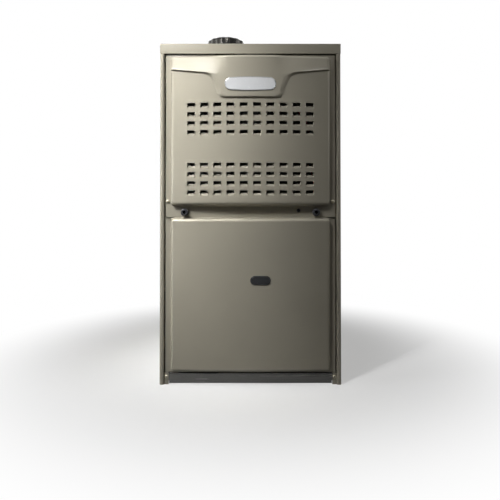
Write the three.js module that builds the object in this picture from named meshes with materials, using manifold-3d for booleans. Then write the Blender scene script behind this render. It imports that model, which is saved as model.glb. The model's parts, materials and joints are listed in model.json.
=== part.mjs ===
// Forced-air gas furnace, upflow, non-condensing: a sheet-metal cabinet 445 mm wide, 838 mm high and
// 730 mm deep over its doors. The upper half holds the burners, heat exchanger and flue-gas inducer,
// the lower half the controls and the centrifugal blower that pushes room air up past the exchanger.
//
// Millimetres. +Z is up, -Y is the front, +X is the right-hand side seen from the front. The origin is on
// the floor, under the middle of the cabinet with its doors on.

import * as THREE from "three";
import { mergeVertices } from "three/addons/utils/BufferGeometryUtils.js";
import Module from "manifold-3d";

const wasm = await Module();
wasm.setup();

// ---------------------------------------------------------------- driving dimensions

const SHEET = 1.2; // cabinet steel
const GAP = 0.35; // air left between pieces that touch
const BEND = 3; // radius of a folded corner, on the middle of the sheet

const HALF_WIDTH = 222.5;
const HEIGHT = 838;
const FRONT = -340; // front flanges of the casing
const BACK = 365;
const SKIN = SHEET / 2; // from a sheet's middle to its face

const CAP_FLANGE = 25.4; // height of the top cap's front flange
const POST_FLANGE = 10; // width of the casing's front flanges
const LIP_BACK = FRONT + 28; // where the casing's return lips end
const SUPPLY = { halfWidth: 208, front: -88, back: 350, flange: 19 };
const RETURN = { halfWidth: 203, front: -289, back: 314 };
const DECK_TOP = 436.6;
const DECK_FLANGE_Y = -320.9; // middle of the deck's front flange
const DECK_FLANGE_LOW = 404;
const BLOWER_PORT = { halfWidth: 114, front: 66, back: 292 };
const PARTITION_Y = -104.4; // middle of the vestibule panel

const DOOR_PLANE = FRONT + 4; // front face of both doors' flat rims
const DOOR_HALF = 209;
const DOOR_RETURN = 14;
const UPPER_DOOR = { low: 409, high: 811.8, bulgeLow: 437, bulgeHigh: 808.4 };
const LOWER_DOOR = { low: 29.8, high: 407.6, bulgeLow: 34.4, bulgeHigh: 407.2 };
const BULGE_HALF = 195;
const BULGE_RISE = 12; // how far a bulge stands out at its sides
const BULGE_CROWN = 11.5; // and how much further at its middle
const BULGE_CHAMFER = 3;
const BULGE_DRAFT = 0.25; // lean of a bulge's top and bottom walls
const BROW = {
  proud: 4, stemFoot: 701.3, footHalf: 72.3, shoulder: 750, shoulderHalf: 96.7,
  inner: 756, outer: 768, round: 9, fallBack: 9, fallFrom: 75, fallTo: 118,
};
const LOUVRE = {
  columns: 10, rows: 4, pitchX: 32, pitchZ: 22.2, width: 18.8, height: 12.4, groups: [687, 541],
  scoopRise: 8.2, scoopDepth: 8,
};
const BADGE = { z: 731.2, length: 123.5, height: 34, proud: 5.5, gap: 4.35 };
const WINDOW = { x: 24.3, z: 256.8, length: 49.4, height: 22.4 };
const PAD = { half: 140, low: 62, high: 368, thickness: 12 };

const KNOB = { x: 161, z: 421, radius: 9.3, length: 13.5, hole: 3.2, cam: 20, camWidth: 7.5 };
const BLACK_SCREW = { x: 118.4, z: 425.7 };
const DOOR_SCREW = { x: 203, z: 447.8 };
const BASE_SCREW = { x: 205.5, z: 18.9 };
const SHANK = 2;
const TOE = { top: 27.6, step: 9.6, face: -335.4, back: -329 };
const GUSSET = { x: 200.8, top: 29 };

const FLUE = { x: -66, y: -228, radius: 50.8, top: 880, foot: 782 };
const CELLS = [-88, 0, 88]; // middles of the three heat exchanger cells and their burners
const CELL_NAMES = ["left", "center", "right"];
const CELL = { half: 17, wall: 1.6, band: 40, pitch: 64, rear: 282, front: -80, inlet: 505 };
const OUTLET_Z = CELL.inlet + 3 * CELL.pitch;
const COLLECTOR = { half: 125, low: 655, high: 745, front: FLUE.y + 33 };
const INDUCER = { x: 0, z: 690, radius: 80, half: 31, wheel: 58, motor: 46, motorLength: 62 };
const BURNER = { head: -118, mouth: -215, rack: -150 };
const MANIFOLD = { y: -235, radius: 10.5, from: -145.6, to: 116 };
const VALVE = { left: -206, right: -152, front: -270, back: -200, low: 470, high: 540 };
const SWITCH_KNOB = { x: -179, z: 498, radius: 13 };
const GAS_HOLE = { y: MANIFOLD.y, z: CELL.inlet, radius: 20 };
const HARNESS_HOLE = { x: 178, y: -200, radius: 12 };
const PROVER = { x: 163, z: 652, radius: 36, front: -172, back: -140 }; // pressure switch
const LIMIT = { x: 165, z: 560 };

const AXLE = { y: 130, z: 228 }; // of the blower
const SCROLL = { half: 118, radius: 168, inlet: 105, top: 435, wall: 1.5 };
const WHEEL = { half: 98, radius: 120, blades: 18, chord: 17 };
const MOTOR = { radius: 68, from: 40, to: 152 };
const SHAFT = 6.35;
const BOX = { left: -95, right: 115, front: -215, back: -175, low: 185, high: 345 };
const PLUNGER = { x: -158, z: 382, tip: -333.4, size: 8 };

// ---------------------------------------------------------------- solids from three.js geometry

// A closed three.js geometry as a solid, turned right side out.
function solid(geometry) {
  const loose = geometry.index ? geometry.toNonIndexed() : geometry;
  loose.deleteAttribute("normal");
  loose.deleteAttribute("uv");
  const merged = mergeVertices(loose, 1e-4);
  const triVerts = new Uint32Array(merged.index.array);
  const vertProperties = merged.attributes.position.array;
  const made = new wasm.Manifold(new wasm.Mesh({ numProp: 3, vertProperties, triVerts }));
  if (made.volume() > 0) return made;
  for (let i = 0; i < triVerts.length; i += 3) triVerts.subarray(i, i + 3).reverse();
  return new wasm.Manifold(new wasm.Mesh({ numProp: 3, vertProperties, triVerts }));
}

const join = (...solids) => solids.flat().reduce((sum, piece) => sum.add(piece));
const cut = (body, ...tools) => tools.flat().reduce((rest, tool) => rest.subtract(tool), body);
const mirrored = (make) => [make(-1), make(1)];

const X = new THREE.Vector3(1, 0, 0);
const Y = new THREE.Vector3(0, 1, 0);
const Z = new THREE.Vector3(0, 0, 1);
const basis = (x, y, z) => new THREE.Matrix4().makeBasis(x, y, z);

function box(x0, x1, y0, y1, z0, z1) {
  const [left, right] = [Math.min(x0, x1), Math.max(x0, x1)];
  const block = new THREE.BoxGeometry(right - left, y1 - y0, z1 - z0);
  return solid(block.translate((left + right) / 2, (y0 + y1) / 2, (z0 + z1) / 2));
}

// A box with its corners in a plan or elevation turned by an angle about its own middle, along one axis.
function turnedBox(size, turn, place) {
  const block = new THREE.BoxGeometry(...size);
  return solid(block.applyMatrix4(turn).translate(...place));
}

const extruded = (shape, depth, curveSegments) =>
  new THREE.ExtrudeGeometry(shape, { depth, bevelEnabled: false, curveSegments });

// Extrudes a shape drawn in plan (x, y), in elevation (x, z) or in side view (y, z).
function prismZ(shape, z0, z1, segments = 8) {
  return solid(extruded(shape, z1 - z0, segments).translate(0, 0, z0));
}
function prismY(shape, y0, y1, segments = 8) {
  const front = basis(X, Z, Y.clone().negate());
  return solid(extruded(shape, y1 - y0, segments).applyMatrix4(front).translate(0, y1, 0));
}
function prismX(shape, x0, x1, segments = 8) {
  return solid(extruded(shape, x1 - x0, segments).applyMatrix4(basis(Y, Z, X)).translate(x0, 0, 0));
}

function polygon(points) {
  return new THREE.Shape(points.map(([a, b]) => new THREE.Vector2(a, b)));
}

const LATHE_AXES = {
  x: basis(Y, X, Z.clone().negate()),
  y: basis(X, Y, Z),
  z: basis(X, Z, Y.clone().negate()),
};
// Turns a profile of [radius, place along the axis] points about an axis through a point.
function turned(profile, axis, through, sides = 24) {
  const ring = [...profile, profile[0]].map(([r, along]) => new THREE.Vector2(r, along));
  const spun = new THREE.LatheGeometry(ring, sides).applyMatrix4(LATHE_AXES[axis]);
  return solid(spun.translate(...through));
}
function rod(radius, from, to, axis, through, sides = 16) {
  const length = to - from;
  const bar = new THREE.CylinderGeometry(radius, radius, length, sides).translate(0, from + length / 2, 0);
  return solid(bar.applyMatrix4(LATHE_AXES[axis]).translate(...through));
}
// A round tool for a hole through a wall that faces the front.
const bore = (radius, x, y, z, sides = 12) => rod(radius, y - 5, y + 5, "y", [x, 0, z], sides);
function pipe(inner, outer, from, to, axis, through, sides = 24) {
  const profile = [[inner, from], [outer, from], [outer, to], [inner, to]];
  return turned(profile, axis, through, sides);
}

// A round cable or hose along a smooth route.
function hose(points, radius, steps) {
  const route = new THREE.CatmullRomCurve3(points.map((p) => new THREE.Vector3(...p)));
  const section = new THREE.Shape().absarc(0, 0, radius, 0, 2 * Math.PI);
  return solid(new THREE.ExtrudeGeometry(section, { steps, extrudePath: route, curveSegments: 4 }));
}

// Outline of a strip of constant thickness that follows a line of points, with its corners rounded:
// the section of a folded sheet, or the run of a serpentine passage.
function strip(points, thickness, radius, arcSteps = 2) {
  const path = points.map(([a, b]) => new THREE.Vector2(a, b));
  const line = [{ at: path[0], along: path[1].clone().sub(path[0]).normalize() }];
  for (let i = 1; i < path.length - 1; i++) {
    const into = path[i].clone().sub(path[i - 1]).normalize();
    const out = path[i + 1].clone().sub(path[i]).normalize();
    const turn = Math.atan2(into.cross(out), into.dot(out));
    const start = path[i].clone().addScaledVector(into, -radius * Math.tan(Math.abs(turn) / 2));
    const side = Math.sign(turn);
    const centre = start.clone().add(new THREE.Vector2(-into.y, into.x).multiplyScalar(side * radius));
    for (let k = 0; k <= arcSteps; k++) {
      const angle = (turn * k) / arcSteps;
      const along = into.clone().rotateAround(new THREE.Vector2(), angle);
      line.push({ at: start.clone().rotateAround(centre, angle), along });
    }
  }
  const last = path[path.length - 1];
  line.push({ at: last, along: last.clone().sub(path[path.length - 2]).normalize() });
  const offset = (s) => ({ at, along }) =>
    new THREE.Vector2(at.x - (along.y * s * thickness) / 2, at.y + (along.x * s * thickness) / 2);
  return new THREE.Shape([...line.map(offset(-1)), ...line.map(offset(1)).reverse()]);
}

// A bar with two half-round ends, drawn about a point.
function pill(x, z, length, height, ends = 5) {
  const reach = (length - height) / 2;
  const shape = new THREE.Shape();
  shape.absarc(x + reach, z, height / 2, -Math.PI / 2, Math.PI / 2);
  shape.absarc(x - reach, z, height / 2, Math.PI / 2, (3 * Math.PI) / 2);
  return new THREE.Shape(shape.getPoints(ends));
}

// ---------------------------------------------------------------- materials

const material = (color, roughness, metalness) =>
  new THREE.MeshStandardMaterial({ color, roughness, metalness });

const FINISH = {
  paint: material(0x8f897a, 0.42, 0.25),
  galvanised: material(0x9a9892, 0.38, 0.9),
  aluminised: material(0xa3a19b, 0.5, 0.85),
  flueSteel: material(0x54555a, 0.35, 0.9),
  zincScrew: material(0xa9a48f, 0.3, 0.9),
  blackScrew: material(0x17171a, 0.4, 0.3),
  blackPlastic: material(0x3f4045, 0.55, 0),
  rubber: material(0x232325, 0.8, 0),
  darkGlass: material(0x303134, 0.15, 0),
  badge: material(0xe4e6e8, 0.3, 0),
  foil: material(0xc9c9c6, 0.35, 0.7),
  fibre: material(0xd8d2bf, 0.95, 0),
  castAluminium: material(0xb4b4b0, 0.55, 0.8),
  motorPaint: material(0x2a2a2c, 0.5, 0.3),
  ceramic: material(0xe6e1d4, 0.7, 0),
  circuit: material(0x2d6a3c, 0.5, 0),
  silicone: material(0xb7442f, 0.7, 0),
  cable: material(0x1c1c1e, 0.6, 0),
  redPlastic: material(0xa8261f, 0.5, 0),
  whitePlastic: material(0xdedbd2, 0.5, 0),
};

// ---------------------------------------------------------------- cabinet

// The casing is one sheet wrapped round the back and sides, with front flanges folded in and lips folded
// back from them for the doors to sit between. Tabs on the lips take the screws.
const LIP = HALF_WIDTH - POST_FLANGE - SKIN;
const CAP_FOOT = HEIGHT - CAP_FLANGE;
const SCREW_TAB_Y = DOOR_PLANE + 16.4;
const INSET = HALF_WIDTH - SHEET - GAP; // half width of what fits between the casing's sides

function casingWrapper() {
  const x = HALF_WIDTH - SKIN;
  const front = FRONT + SKIN;
  const section = strip(
    [[-LIP, LIP_BACK], [-LIP, front], [-x, front], [-x, BACK - SKIN],
      [x, BACK - SKIN], [x, front], [LIP, front], [LIP, LIP_BACK]],
    SHEET, BEND,
  );
  const top = HEIGHT - SHEET - GAP;
  const capSeat = box(-x - 1, x + 1, FRONT - 2, LIP_BACK + 1, CAP_FOOT - GAP, HEIGHT);
  const wrap = cut(prismZ(section, 0, top), capSeat);
  const heel = box(-x, x, RETURN.back, BACK - SKIN, 0, SHEET);
  const flanges = mirrored((s) => [
    box(s * RETURN.halfWidth, s * x, LIP_BACK + 2, BACK - SKIN, 0, SHEET),
    box(s * GUSSET.x, s * (LIP + 0.3), DOOR_PLANE, DOOR_PLANE + SHEET, 0, GUSSET.top),
    box(s * (DOOR_SCREW.x - 6), s * (LIP + 0.3), SCREW_TAB_Y - SKIN, SCREW_TAB_Y + SKIN,
      DOOR_SCREW.z - 10, DOOR_SCREW.z + 10),
    box(s * 214, s * 218.5, FRONT - 0.8, front, CAP_FOOT - 23, CAP_FOOT - 1),
    box(s * (x - SKIN), s * HALF_WIDTH, FRONT + BEND, LIP_BACK + 2, CAP_FOOT - GAP, top),
  ]).flat();
  const screwHoles = mirrored((s) => [
    bore(SHANK + 0.4, s * BASE_SCREW.x, DOOR_PLANE, BASE_SCREW.z, 10),
    bore(SHANK + 0.4, s * DOOR_SCREW.x, SCREW_TAB_Y, DOOR_SCREW.z, 10),
  ]).flat();
  const gasWay = [0, GAS_HOLE.y, GAS_HOLE.z];
  const gasHole = rod(GAS_HOLE.radius, -HALF_WIDTH - 5, -HALF_WIDTH + 5, "x", gasWay, 18);
  return cut(join(wrap, heel, flanges), screwHoles, gasHole);
}

// The cap closes the top of the burner compartment and folds down over its front.
function topCap() {
  const back = PARTITION_Y - 2;
  const section = strip(
    [[FRONT + SKIN, CAP_FOOT], [FRONT + SKIN, HEIGHT - SKIN], [back, HEIGHT - SKIN], [back, HEIGHT - 16]],
    SHEET, BEND - 1,
  );
  const flueHole = rod(FLUE.radius + 1.2, HEIGHT - 10, HEIGHT + 10, "z", [FLUE.x, FLUE.y, 0], 24);
  const sideNotches = mirrored((s) =>
    box(s * INSET, s * (HALF_WIDTH + 1), back - 3, back + 3, HEIGHT - 20, HEIGHT - SHEET - 0.1));
  return cut(prismX(section, -HALF_WIDTH, HALF_WIDTH), flueHole, sideNotches);
}

// Frame round the supply opening, with its flange turned up for the duct.
function supplyDuctFrame() {
  const { halfWidth, front, back, flange } = SUPPLY;
  const [outer, low, high] = [halfWidth + SHEET, HEIGHT - SHEET, HEIGHT + flange];
  const plate = box(-HALF_WIDTH, HALF_WIDTH, PARTITION_Y + GAP, BACK, low, HEIGHT);
  const wall = box(-outer, outer, front - SHEET, back + SHEET, low, high);
  return cut(join(plate, wall), box(-halfWidth, halfWidth, front, back, low - 5, high + 5));
}

// Bare steel rail across the foot of the front, joggled back under its face.
function baseRail() {
  const section = strip(
    [[TOE.face + 13, TOE.top], [TOE.face, TOE.top], [TOE.face, TOE.step], [TOE.back, TOE.step],
      [TOE.back, SKIN], [RETURN.front, SKIN]],
    SHEET, 1.6, 2,
  );
  return prismX(section, -GUSSET.x + GAP, GUSSET.x - GAP);
}

// Shelf between the two compartments. The blower hangs below it and blows through its opening.
function blowerDeck() {
  const middle = DECK_TOP - SKIN;
  const rear = BACK - SHEET - GAP;
  const fold = [[DECK_FLANGE_Y, DECK_FLANGE_LOW], [DECK_FLANGE_Y, middle], [rear, middle]];
  const section = strip(fold, SHEET, BEND);
  const { halfWidth, front, back } = BLOWER_PORT;
  const port = box(-halfWidth, halfWidth, front, back, middle - 5, middle + 5);
  const corners = mirrored((s) => [
    box(s * (LIP - SKIN - GAP), s * HALF_WIDTH, FRONT, LIP_BACK + 1, DECK_FLANGE_LOW - 5, DECK_TOP + 5),
    box(s * (INSET - 4), s * HALF_WIDTH, rear - 5, BACK, middle - 5, middle + 5),
  ]).flat();
  const [slot, reach] = [KNOB.camWidth / 2 + 1, KNOB.cam / 2 + 1];
  const latchSlots = [-KNOB.x, KNOB.x].map((x) =>
    box(x - slot, x + slot, DECK_FLANGE_Y - 3, DECK_FLANGE_Y + 3, KNOB.z - reach, KNOB.z + reach));
  const screwHole = bore(SHANK + 0.5, BLACK_SCREW.x, DECK_FLANGE_Y, BLACK_SCREW.z, 10);
  const cableWay = [HARNESS_HOLE.x, HARNESS_HOLE.y, 0];
  const cableHole = rod(HARNESS_HOLE.radius, middle - 5, middle + 5, "z", cableWay, 20);
  return cut(prismX(section, -INSET, INSET), corners, port, latchSlots, screwHole, cableHole);
}

// Upright panel between the burner compartment and the heat exchanger.
function vestibulePanel() {
  const foot = DECK_TOP + GAP + SKIN;
  const head = HEIGHT - SHEET - GAP;
  const section = strip([[PARTITION_Y - 14, foot], [PARTITION_Y, foot], [PARTITION_Y, head]], SHEET, BEND);
  const inletPorts = CELLS.map((x) => bore(15, x, PARTITION_Y, CELL.inlet, 16));
  const outletPorts = CELLS.map((x) =>
    box(x - 14, x + 14, PARTITION_Y - 5, PARTITION_Y + 5, OUTLET_Z - 17, OUTLET_Z + 17));
  const limitHole = bore(10, LIMIT.x, PARTITION_Y, LIMIT.z, 16);
  return cut(prismX(section, -INSET, INSET), inletPorts, outletPorts, limitHole);
}

// Foil-faced insulation board on a side wall of the heat exchanger compartment.
function liner(side) {
  const inner = SUPPLY.halfWidth + 1.5;
  return box(side * inner, side * INSET, PARTITION_Y + 4, BACK - 5, DECK_TOP + 2, HEIGHT - 3);
}

// ---------------------------------------------------------------- doors

const bulgeHeight = (x) => BULGE_RISE + BULGE_CROWN * (1 - (x / BULGE_HALF) ** 2);

// The space under a door's crowned bulge, drawn in from its outside by a wall, or standing proud of it.
function bulge(door, wall, proud = 0) {
  const half = BULGE_HALF - wall;
  const side = DOOR_PLANE - BULGE_RISE + wall - proud;
  const chamfer = BULGE_CHAMFER;
  const edge = half - chamfer;
  const rise = bulgeHeight(edge) - BULGE_RISE;
  const back = DOOR_PLANE + SHEET + wall;
  const plan = new THREE.Shape();
  plan.moveTo(-half, back);
  plan.lineTo(-half, side + chamfer);
  plan.lineTo(-edge, side - rise);
  plan.quadraticCurveTo(0, side - rise - 2 * (BULGE_CROWN - rise), edge, side - rise);
  plan.lineTo(half, side + chamfer);
  plan.lineTo(half, back);
  const far = DOOR_PLANE - 60;
  const lean = BULGE_DRAFT * 60;
  const low = door.bulgeLow + wall;
  const high = door.bulgeHigh - wall;
  const flare = BULGE_DRAFT * (back - DOOR_PLANE);
  const ends = polygon([[back, low - flare], [back, high + flare], [far, high - lean], [far, low + lean]]);
  return prismZ(plan, low - 8, high + 8, LOUVRE.columns + 2).intersect(prismX(ends, -BULGE_HALF, BULGE_HALF));
}

// A flat rim with its edges folded back, and the crowned bulge standing out of it.
function doorPan(door) {
  const { low, high } = door;
  const back = DOOR_PLANE + DOOR_RETURN;
  const half = DOOR_HALF - SHEET;
  const outer = box(-DOOR_HALF, DOOR_HALF, DOOR_PLANE, back, low, high);
  const inner = box(-half, half, DOOR_PLANE + SHEET, back + 1, low + SHEET, high - SHEET);
  return cut(join(cut(outer, inner), bulge(door, 0)), bulge(door, SHEET));
}

const smooth = (t) => t * t * (3 - 2 * t);
// How far the brow's wings lean back towards the top of the door, and its middle doesn't.
function browFall(x, z) {
  const share = THREE.MathUtils.clamp((Math.abs(x) - BROW.fallFrom) / (BROW.fallTo - BROW.fallFrom), 0, 1);
  const climb = THREE.MathUtils.clamp((z - BROW.inner) / (UPPER_DOOR.bulgeHigh - BROW.inner), 0, 1);
  return BROW.fallBack * smooth(share) * climb;
}

// The brow's outline on the door: wings from side to side, and a stem that carries the badge.
function browOutline(wall) {
  const half = BULGE_HALF - wall;
  const foot = BROW.stemFoot + wall;
  const rise = (BROW.outer - BROW.inner) / (BULGE_HALF - BROW.shoulderHalf);
  const wingTip = BROW.outer + wall;
  const halfOutline = (s) => {
    const points = [
      [s * half, wingTip], [s * (BROW.shoulderHalf - wall + 9), BROW.inner + wall + 9 * rise],
      [s * (BROW.shoulderHalf - wall - 3), BROW.shoulder + wall - 6],
      [s * (BROW.footHalf - wall + 3.5), foot + 8], [s * (BROW.footHalf - wall - BROW.round), foot],
    ];
    return s > 0 ? points : points.reverse();
  };
  const top = UPPER_DOOR.bulgeHigh + 5;
  return polygon([[-half, top], [half, top], ...halfOutline(1), ...halfOutline(-1)]);
}

// A block whose front follows the brow's surface and whose back lies behind the door's own skin.
function browBlock(wall) {
  const [low, high] = [BROW.stemFoot - 5, UPPER_DOOR.bulgeHigh];
  const slab = new THREE.BoxGeometry(2 * BULGE_HALF, 1, high - low, 12, 1, 3);
  slab.translate(0, 0, (low + high) / 2);
  const place = slab.attributes.position;
  for (let i = 0; i < place.count; i++) {
    const [x, z] = [place.getX(i), place.getZ(i)];
    const skin = DOOR_PLANE - bulgeHeight(x);
    const front = skin - BROW.proud + browFall(x, z) + wall;
    place.setY(i, place.getY(i) < 0 ? front : DOOR_PLANE - 3);
  }
  return solid(slab).intersect(prismY(browOutline(wall), DOOR_PLANE - 60, DOOR_PLANE));
}

// What the wings' lean takes off the door's own skin above the brow's crease.
function browRelief() {
  const [low, high] = [BROW.inner, UPPER_DOOR.bulgeHigh + 6];
  const slab = new THREE.BoxGeometry(2 * BULGE_HALF + 4, 1, high - low, 12, 1, 3);
  slab.translate(0, 0, (low + high) / 2);
  const place = slab.attributes.position;
  for (let i = 0; i < place.count; i++) {
    const [x, z] = [place.getX(i), place.getZ(i)];
    const surface = DOOR_PLANE - bulgeHeight(x) - BROW.proud + browFall(x, z);
    place.setY(i, place.getY(i) < 0 ? DOOR_PLANE - 60 : surface);
  }
  return solid(slab);
}

// Where each louvre sits, with the slope of the crowned skin there.
function louvrePlaces() {
  const places = [];
  for (const top of LOUVRE.groups)
    for (let row = 0; row < LOUVRE.rows; row++)
      for (let column = 0; column < LOUVRE.columns; column++) {
        const x = (column - (LOUVRE.columns - 1) / 2) * LOUVRE.pitchX;
        const turn = Math.atan((2 * BULGE_CROWN * x) / BULGE_HALF ** 2);
        places.push({ x, y: DOOR_PLANE - bulgeHeight(x), top: top - row * LOUVRE.pitchZ, turn });
      }
  return places;
}

function louvreSlot({ x, y, top, turn }) {
  const size = [LOUVRE.width, 6, LOUVRE.height];
  return turnedBox(size, new THREE.Matrix4().makeRotationZ(turn), [x, y, top - LOUVRE.height / 2]);
}

// The tongue pushed in from a louvre's lower edge, leaving the slot open at its top.
function louvreScoop({ x, y, top, turn }) {
  const foot = top - LOUVRE.height;
  const section = polygon([
    [0.3, -0.8], [LOUVRE.scoopDepth, LOUVRE.scoopRise - 1], [LOUVRE.scoopDepth - 1, LOUVRE.scoopRise],
  ]);
  const width = LOUVRE.width - 0.6;
  const tongue = extruded(section, width, 1).translate(0, 0, -width / 2);
  tongue.applyMatrix4(basis(Y, Z, X)).rotateZ(turn).translate(x, y, foot);
  return solid(tongue);
}

function upperAccessPanel() {
  const skinned = cut(join(doorPan(UPPER_DOOR), browBlock(0)), browBlock(SHEET), browRelief());
  const places = louvrePlaces();
  const holes = mirrored((s) => [
    bore(4.5, s * KNOB.x, DOOR_PLANE, KNOB.z, 14),
    bore(SHANK + 0.4, s * DOOR_SCREW.x, DOOR_PLANE, DOOR_SCREW.z, 10),
  ]).flat();
  const blackHole = bore(SHANK + 0.4, BLACK_SCREW.x, DOOR_PLANE, BLACK_SCREW.z, 10);
  return join(cut(skinned, places.map(louvreSlot), holes, blackHole), places.map(louvreScoop));
}

// A pocket on the back of the lower door, whose floor meets the door switch.
function striker() {
  const { x, z, size, tip } = PLUNGER;
  const [near, far] = [DOOR_PLANE - bulgeHeight(x) + 0.4, tip - 0.5];
  const wall = size - SHEET;
  const block = box(x - size, x + size, near, far, z - size, z + size);
  const pocket = box(x - wall, x + wall, near - 5, far - SHEET, z - wall, z + size + 1);
  return cut(block, pocket.intersect(bulge(LOWER_DOOR, SHEET)));
}

function lowerAccessPanel() {
  const { x, z, length, height } = WINDOW;
  const opening = prismY(pill(x, z, length - 4.4, height - 4.4), DOOR_PLANE - 40, DOOR_PLANE);
  return cut(join(doorPan(LOWER_DOOR), striker()), opening);
}

// Blank pill-shaped plate that follows the brow's crown.
function badgePlate() {
  const shell = cut(bulge(UPPER_DOOR, 0, BADGE.proud), bulge(UPPER_DOOR, 0, BADGE.gap));
  return shell.intersect(prismY(pill(0, BADGE.z, BADGE.length, BADGE.height), DOOR_PLANE - 60, DOOR_PLANE));
}

const windowSkin = DOOR_PLANE - bulgeHeight(WINDOW.x);
function sightGlassGasket() {
  const { x, z, length, height } = WINDOW;
  const lip = prismY(pill(x, z, length, height), windowSkin - 2.2, windowSkin - 0.5);
  const neck = prismY(pill(x, z, length - 5.2, height - 5.2), windowSkin - 1, windowSkin + 4);
  const bore = prismY(pill(x, z, length - 8.4, height - 8.4), windowSkin - 5, windowSkin + 6);
  return cut(join(lip, neck), bore);
}
function sightGlass() {
  const { x, z, length, height } = WINDOW;
  return prismY(pill(x, z, length - 9.2, height - 9.2), windowSkin - 1.8, windowSkin + 1.2);
}

function lowerPanelInsulation() {
  const near = bulge(LOWER_DOOR, SHEET + GAP);
  const far = bulge(LOWER_DOOR, SHEET + GAP + PAD.thickness);
  const extent = box(-PAD.half, PAD.half, DOOR_PLANE - 60, DOOR_PLANE, PAD.low, PAD.high);
  const clearance = pill(WINDOW.x, WINDOW.z, WINDOW.length + 14, WINDOW.height + 14);
  return cut(near.intersect(extent), far, prismY(clearance, DOOR_PLANE - 60, DOOR_PLANE + 5));
}

// ---------------------------------------------------------------- latches and screws

const CAM_FACE = DECK_FLANGE_Y + SKIN + 2;

function latchKnob(side) {
  const face = DOOR_PLANE - GAP;
  const through = [side * KNOB.x, 0, KNOB.z];
  const profile = [
    [0, face - KNOB.length + 9], [KNOB.hole, face - KNOB.length + 9], [KNOB.hole, face - KNOB.length],
    [KNOB.radius - 1.5, face - KNOB.length], [KNOB.radius, face - KNOB.length + 1.5], [KNOB.radius, face],
    [3.5, face], [3.5, CAM_FACE - GAP], [2.6, CAM_FACE - GAP], [2.6, CAM_FACE + 6], [0, CAM_FACE + 6],
  ];
  return turned(profile, "y", through, 16);
}
// The cross bar on a knob's stem. It stands upright in line with its slot, and locks a quarter turn on.
function latchCam(side) {
  const x = side * KNOB.x;
  const [half, reach] = [KNOB.camWidth / 2, KNOB.cam / 2];
  const bar = box(x - half, x + half, CAM_FACE, CAM_FACE + 3, KNOB.z - reach, KNOB.z + reach);
  return cut(bar, rod(2.9, CAM_FACE - 5, CAM_FACE + 9, "y", [x, 0, KNOB.z], 12));
}

// A domed head on a plain shank that points into the furnace.
function screw(x, z, head, length) {
  const face = DOOR_PLANE;
  const profile = [
    [0, face - 3.4], [head * 0.7, face - 2.7], [head, face - GAP],
    [SHANK, face - GAP], [SHANK, face + length], [0, face + length],
  ];
  return turned(profile, "y", [x, 0, z], 10);
}

// ---------------------------------------------------------------- flue

function fluePipe() {
  const { x, y, radius, top, foot } = FLUE;
  const tube = pipe(radius - 1, radius, foot, top, "z", [x, y, 0], 24);
  const floor = rod(radius - 0.5, foot, foot + SHEET, "z", [x, y, 0], 24);
  const inlet = box(x - 28, x + 28, y - 29, y + 29, foot - 2, foot + 4);
  return cut(join(tube, floor), inlet);
}
function flueRing() {
  const { x, y, radius } = FLUE;
  return pipe(radius + 0.6, radius + 12, HEIGHT + GAP, HEIGHT + GAP + SHEET, "z", [x, y, 0], 24);
}

// ---------------------------------------------------------------- heat exchanger and burners

// A clamshell cell: one flat passage that climbs through four passes, on a seam plate.
function heatExchangerCell(x) {
  const { half, wall, band, pitch, rear, front, inlet } = CELL;
  const start = PARTITION_Y + SKIN + GAP;
  const bend = pitch / 2;
  const levels = [0, 1, 2, 3].map((n) => inlet + n * pitch);
  const run = (from) => [
    [from, levels[0]], [rear, levels[0]], [rear, levels[1]], [front, levels[1]],
    [front, levels[2]], [rear, levels[2]], [rear, levels[3]], [from, levels[3]],
  ];
  const turn = bend - 0.01;
  const hollow = half - wall;
  const outside = prismX(strip(run(start), band, turn), x - half, x + half);
  const inside = prismX(strip(run(start - 5), band - 2 * wall, turn), x - hollow, x + hollow);
  const seam = box(x - 0.8, x + 0.8, front + 12, rear + band / 2 + 6, inlet - 8, levels[3] + 8);
  return cut(join(outside, seam), inside);
}

function flueCollectorBox() {
  const { half, low, high, front } = COLLECTOR;
  const back = PARTITION_Y - SKIN - GAP;
  const shell = box(-half, half, front, back, low, high);
  const inner = box(-half + SHEET, half - SHEET, front + SHEET, back + 5, low + SHEET, high - SHEET);
  return cut(shell, inner, rod(34, front - 5, front + 5, "y", [INDUCER.x, 0, INDUCER.z], 24));
}

// Volute outline in elevation: a drum whose outlet rises at its left.
function voluteOutline(wall) {
  const { x, z, radius } = INDUCER;
  const r = radius - wall;
  const [outer, inner] = [FLUE.x - 30 + wall, FLUE.x + 30 - wall];
  const top = FLUE.foot + (wall ? 5 : -1.5);
  const shape = new THREE.Shape();
  shape.moveTo(outer, top);
  shape.lineTo(outer, z + 30);
  shape.lineTo(x - r, z);
  shape.absarc(x, z, r, Math.PI, 2 * Math.PI + Math.acos((inner - x) / r), false);
  shape.lineTo(inner, top);
  return shape;
}
function inducerHousing() {
  const { x, z, half, radius } = INDUCER;
  const [front, back] = [FLUE.y - half, FLUE.y + half];
  const outside = prismY(voluteOutline(0), front, back, 11);
  const inside = prismY(voluteOutline(2), front + 2, back - 2, 11);
  const eye = rod(30, back - 8, back + 5, "y", [x, 0, z], 20);
  const motorSeat = rod(40, front - 5, front + 5, "y", [x, 0, z], 20);
  const port = pipe(2, 3.5, x + radius - 3, x + radius + 6, "x", [0, FLUE.y, z + 14], 8);
  return join(cut(outside, inside, eye, motorSeat), port);
}
const INDUCER_FACE = FLUE.y - INDUCER.half - GAP;
const INDUCER_NOSE = INDUCER_FACE - INDUCER.motorLength;
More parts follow.
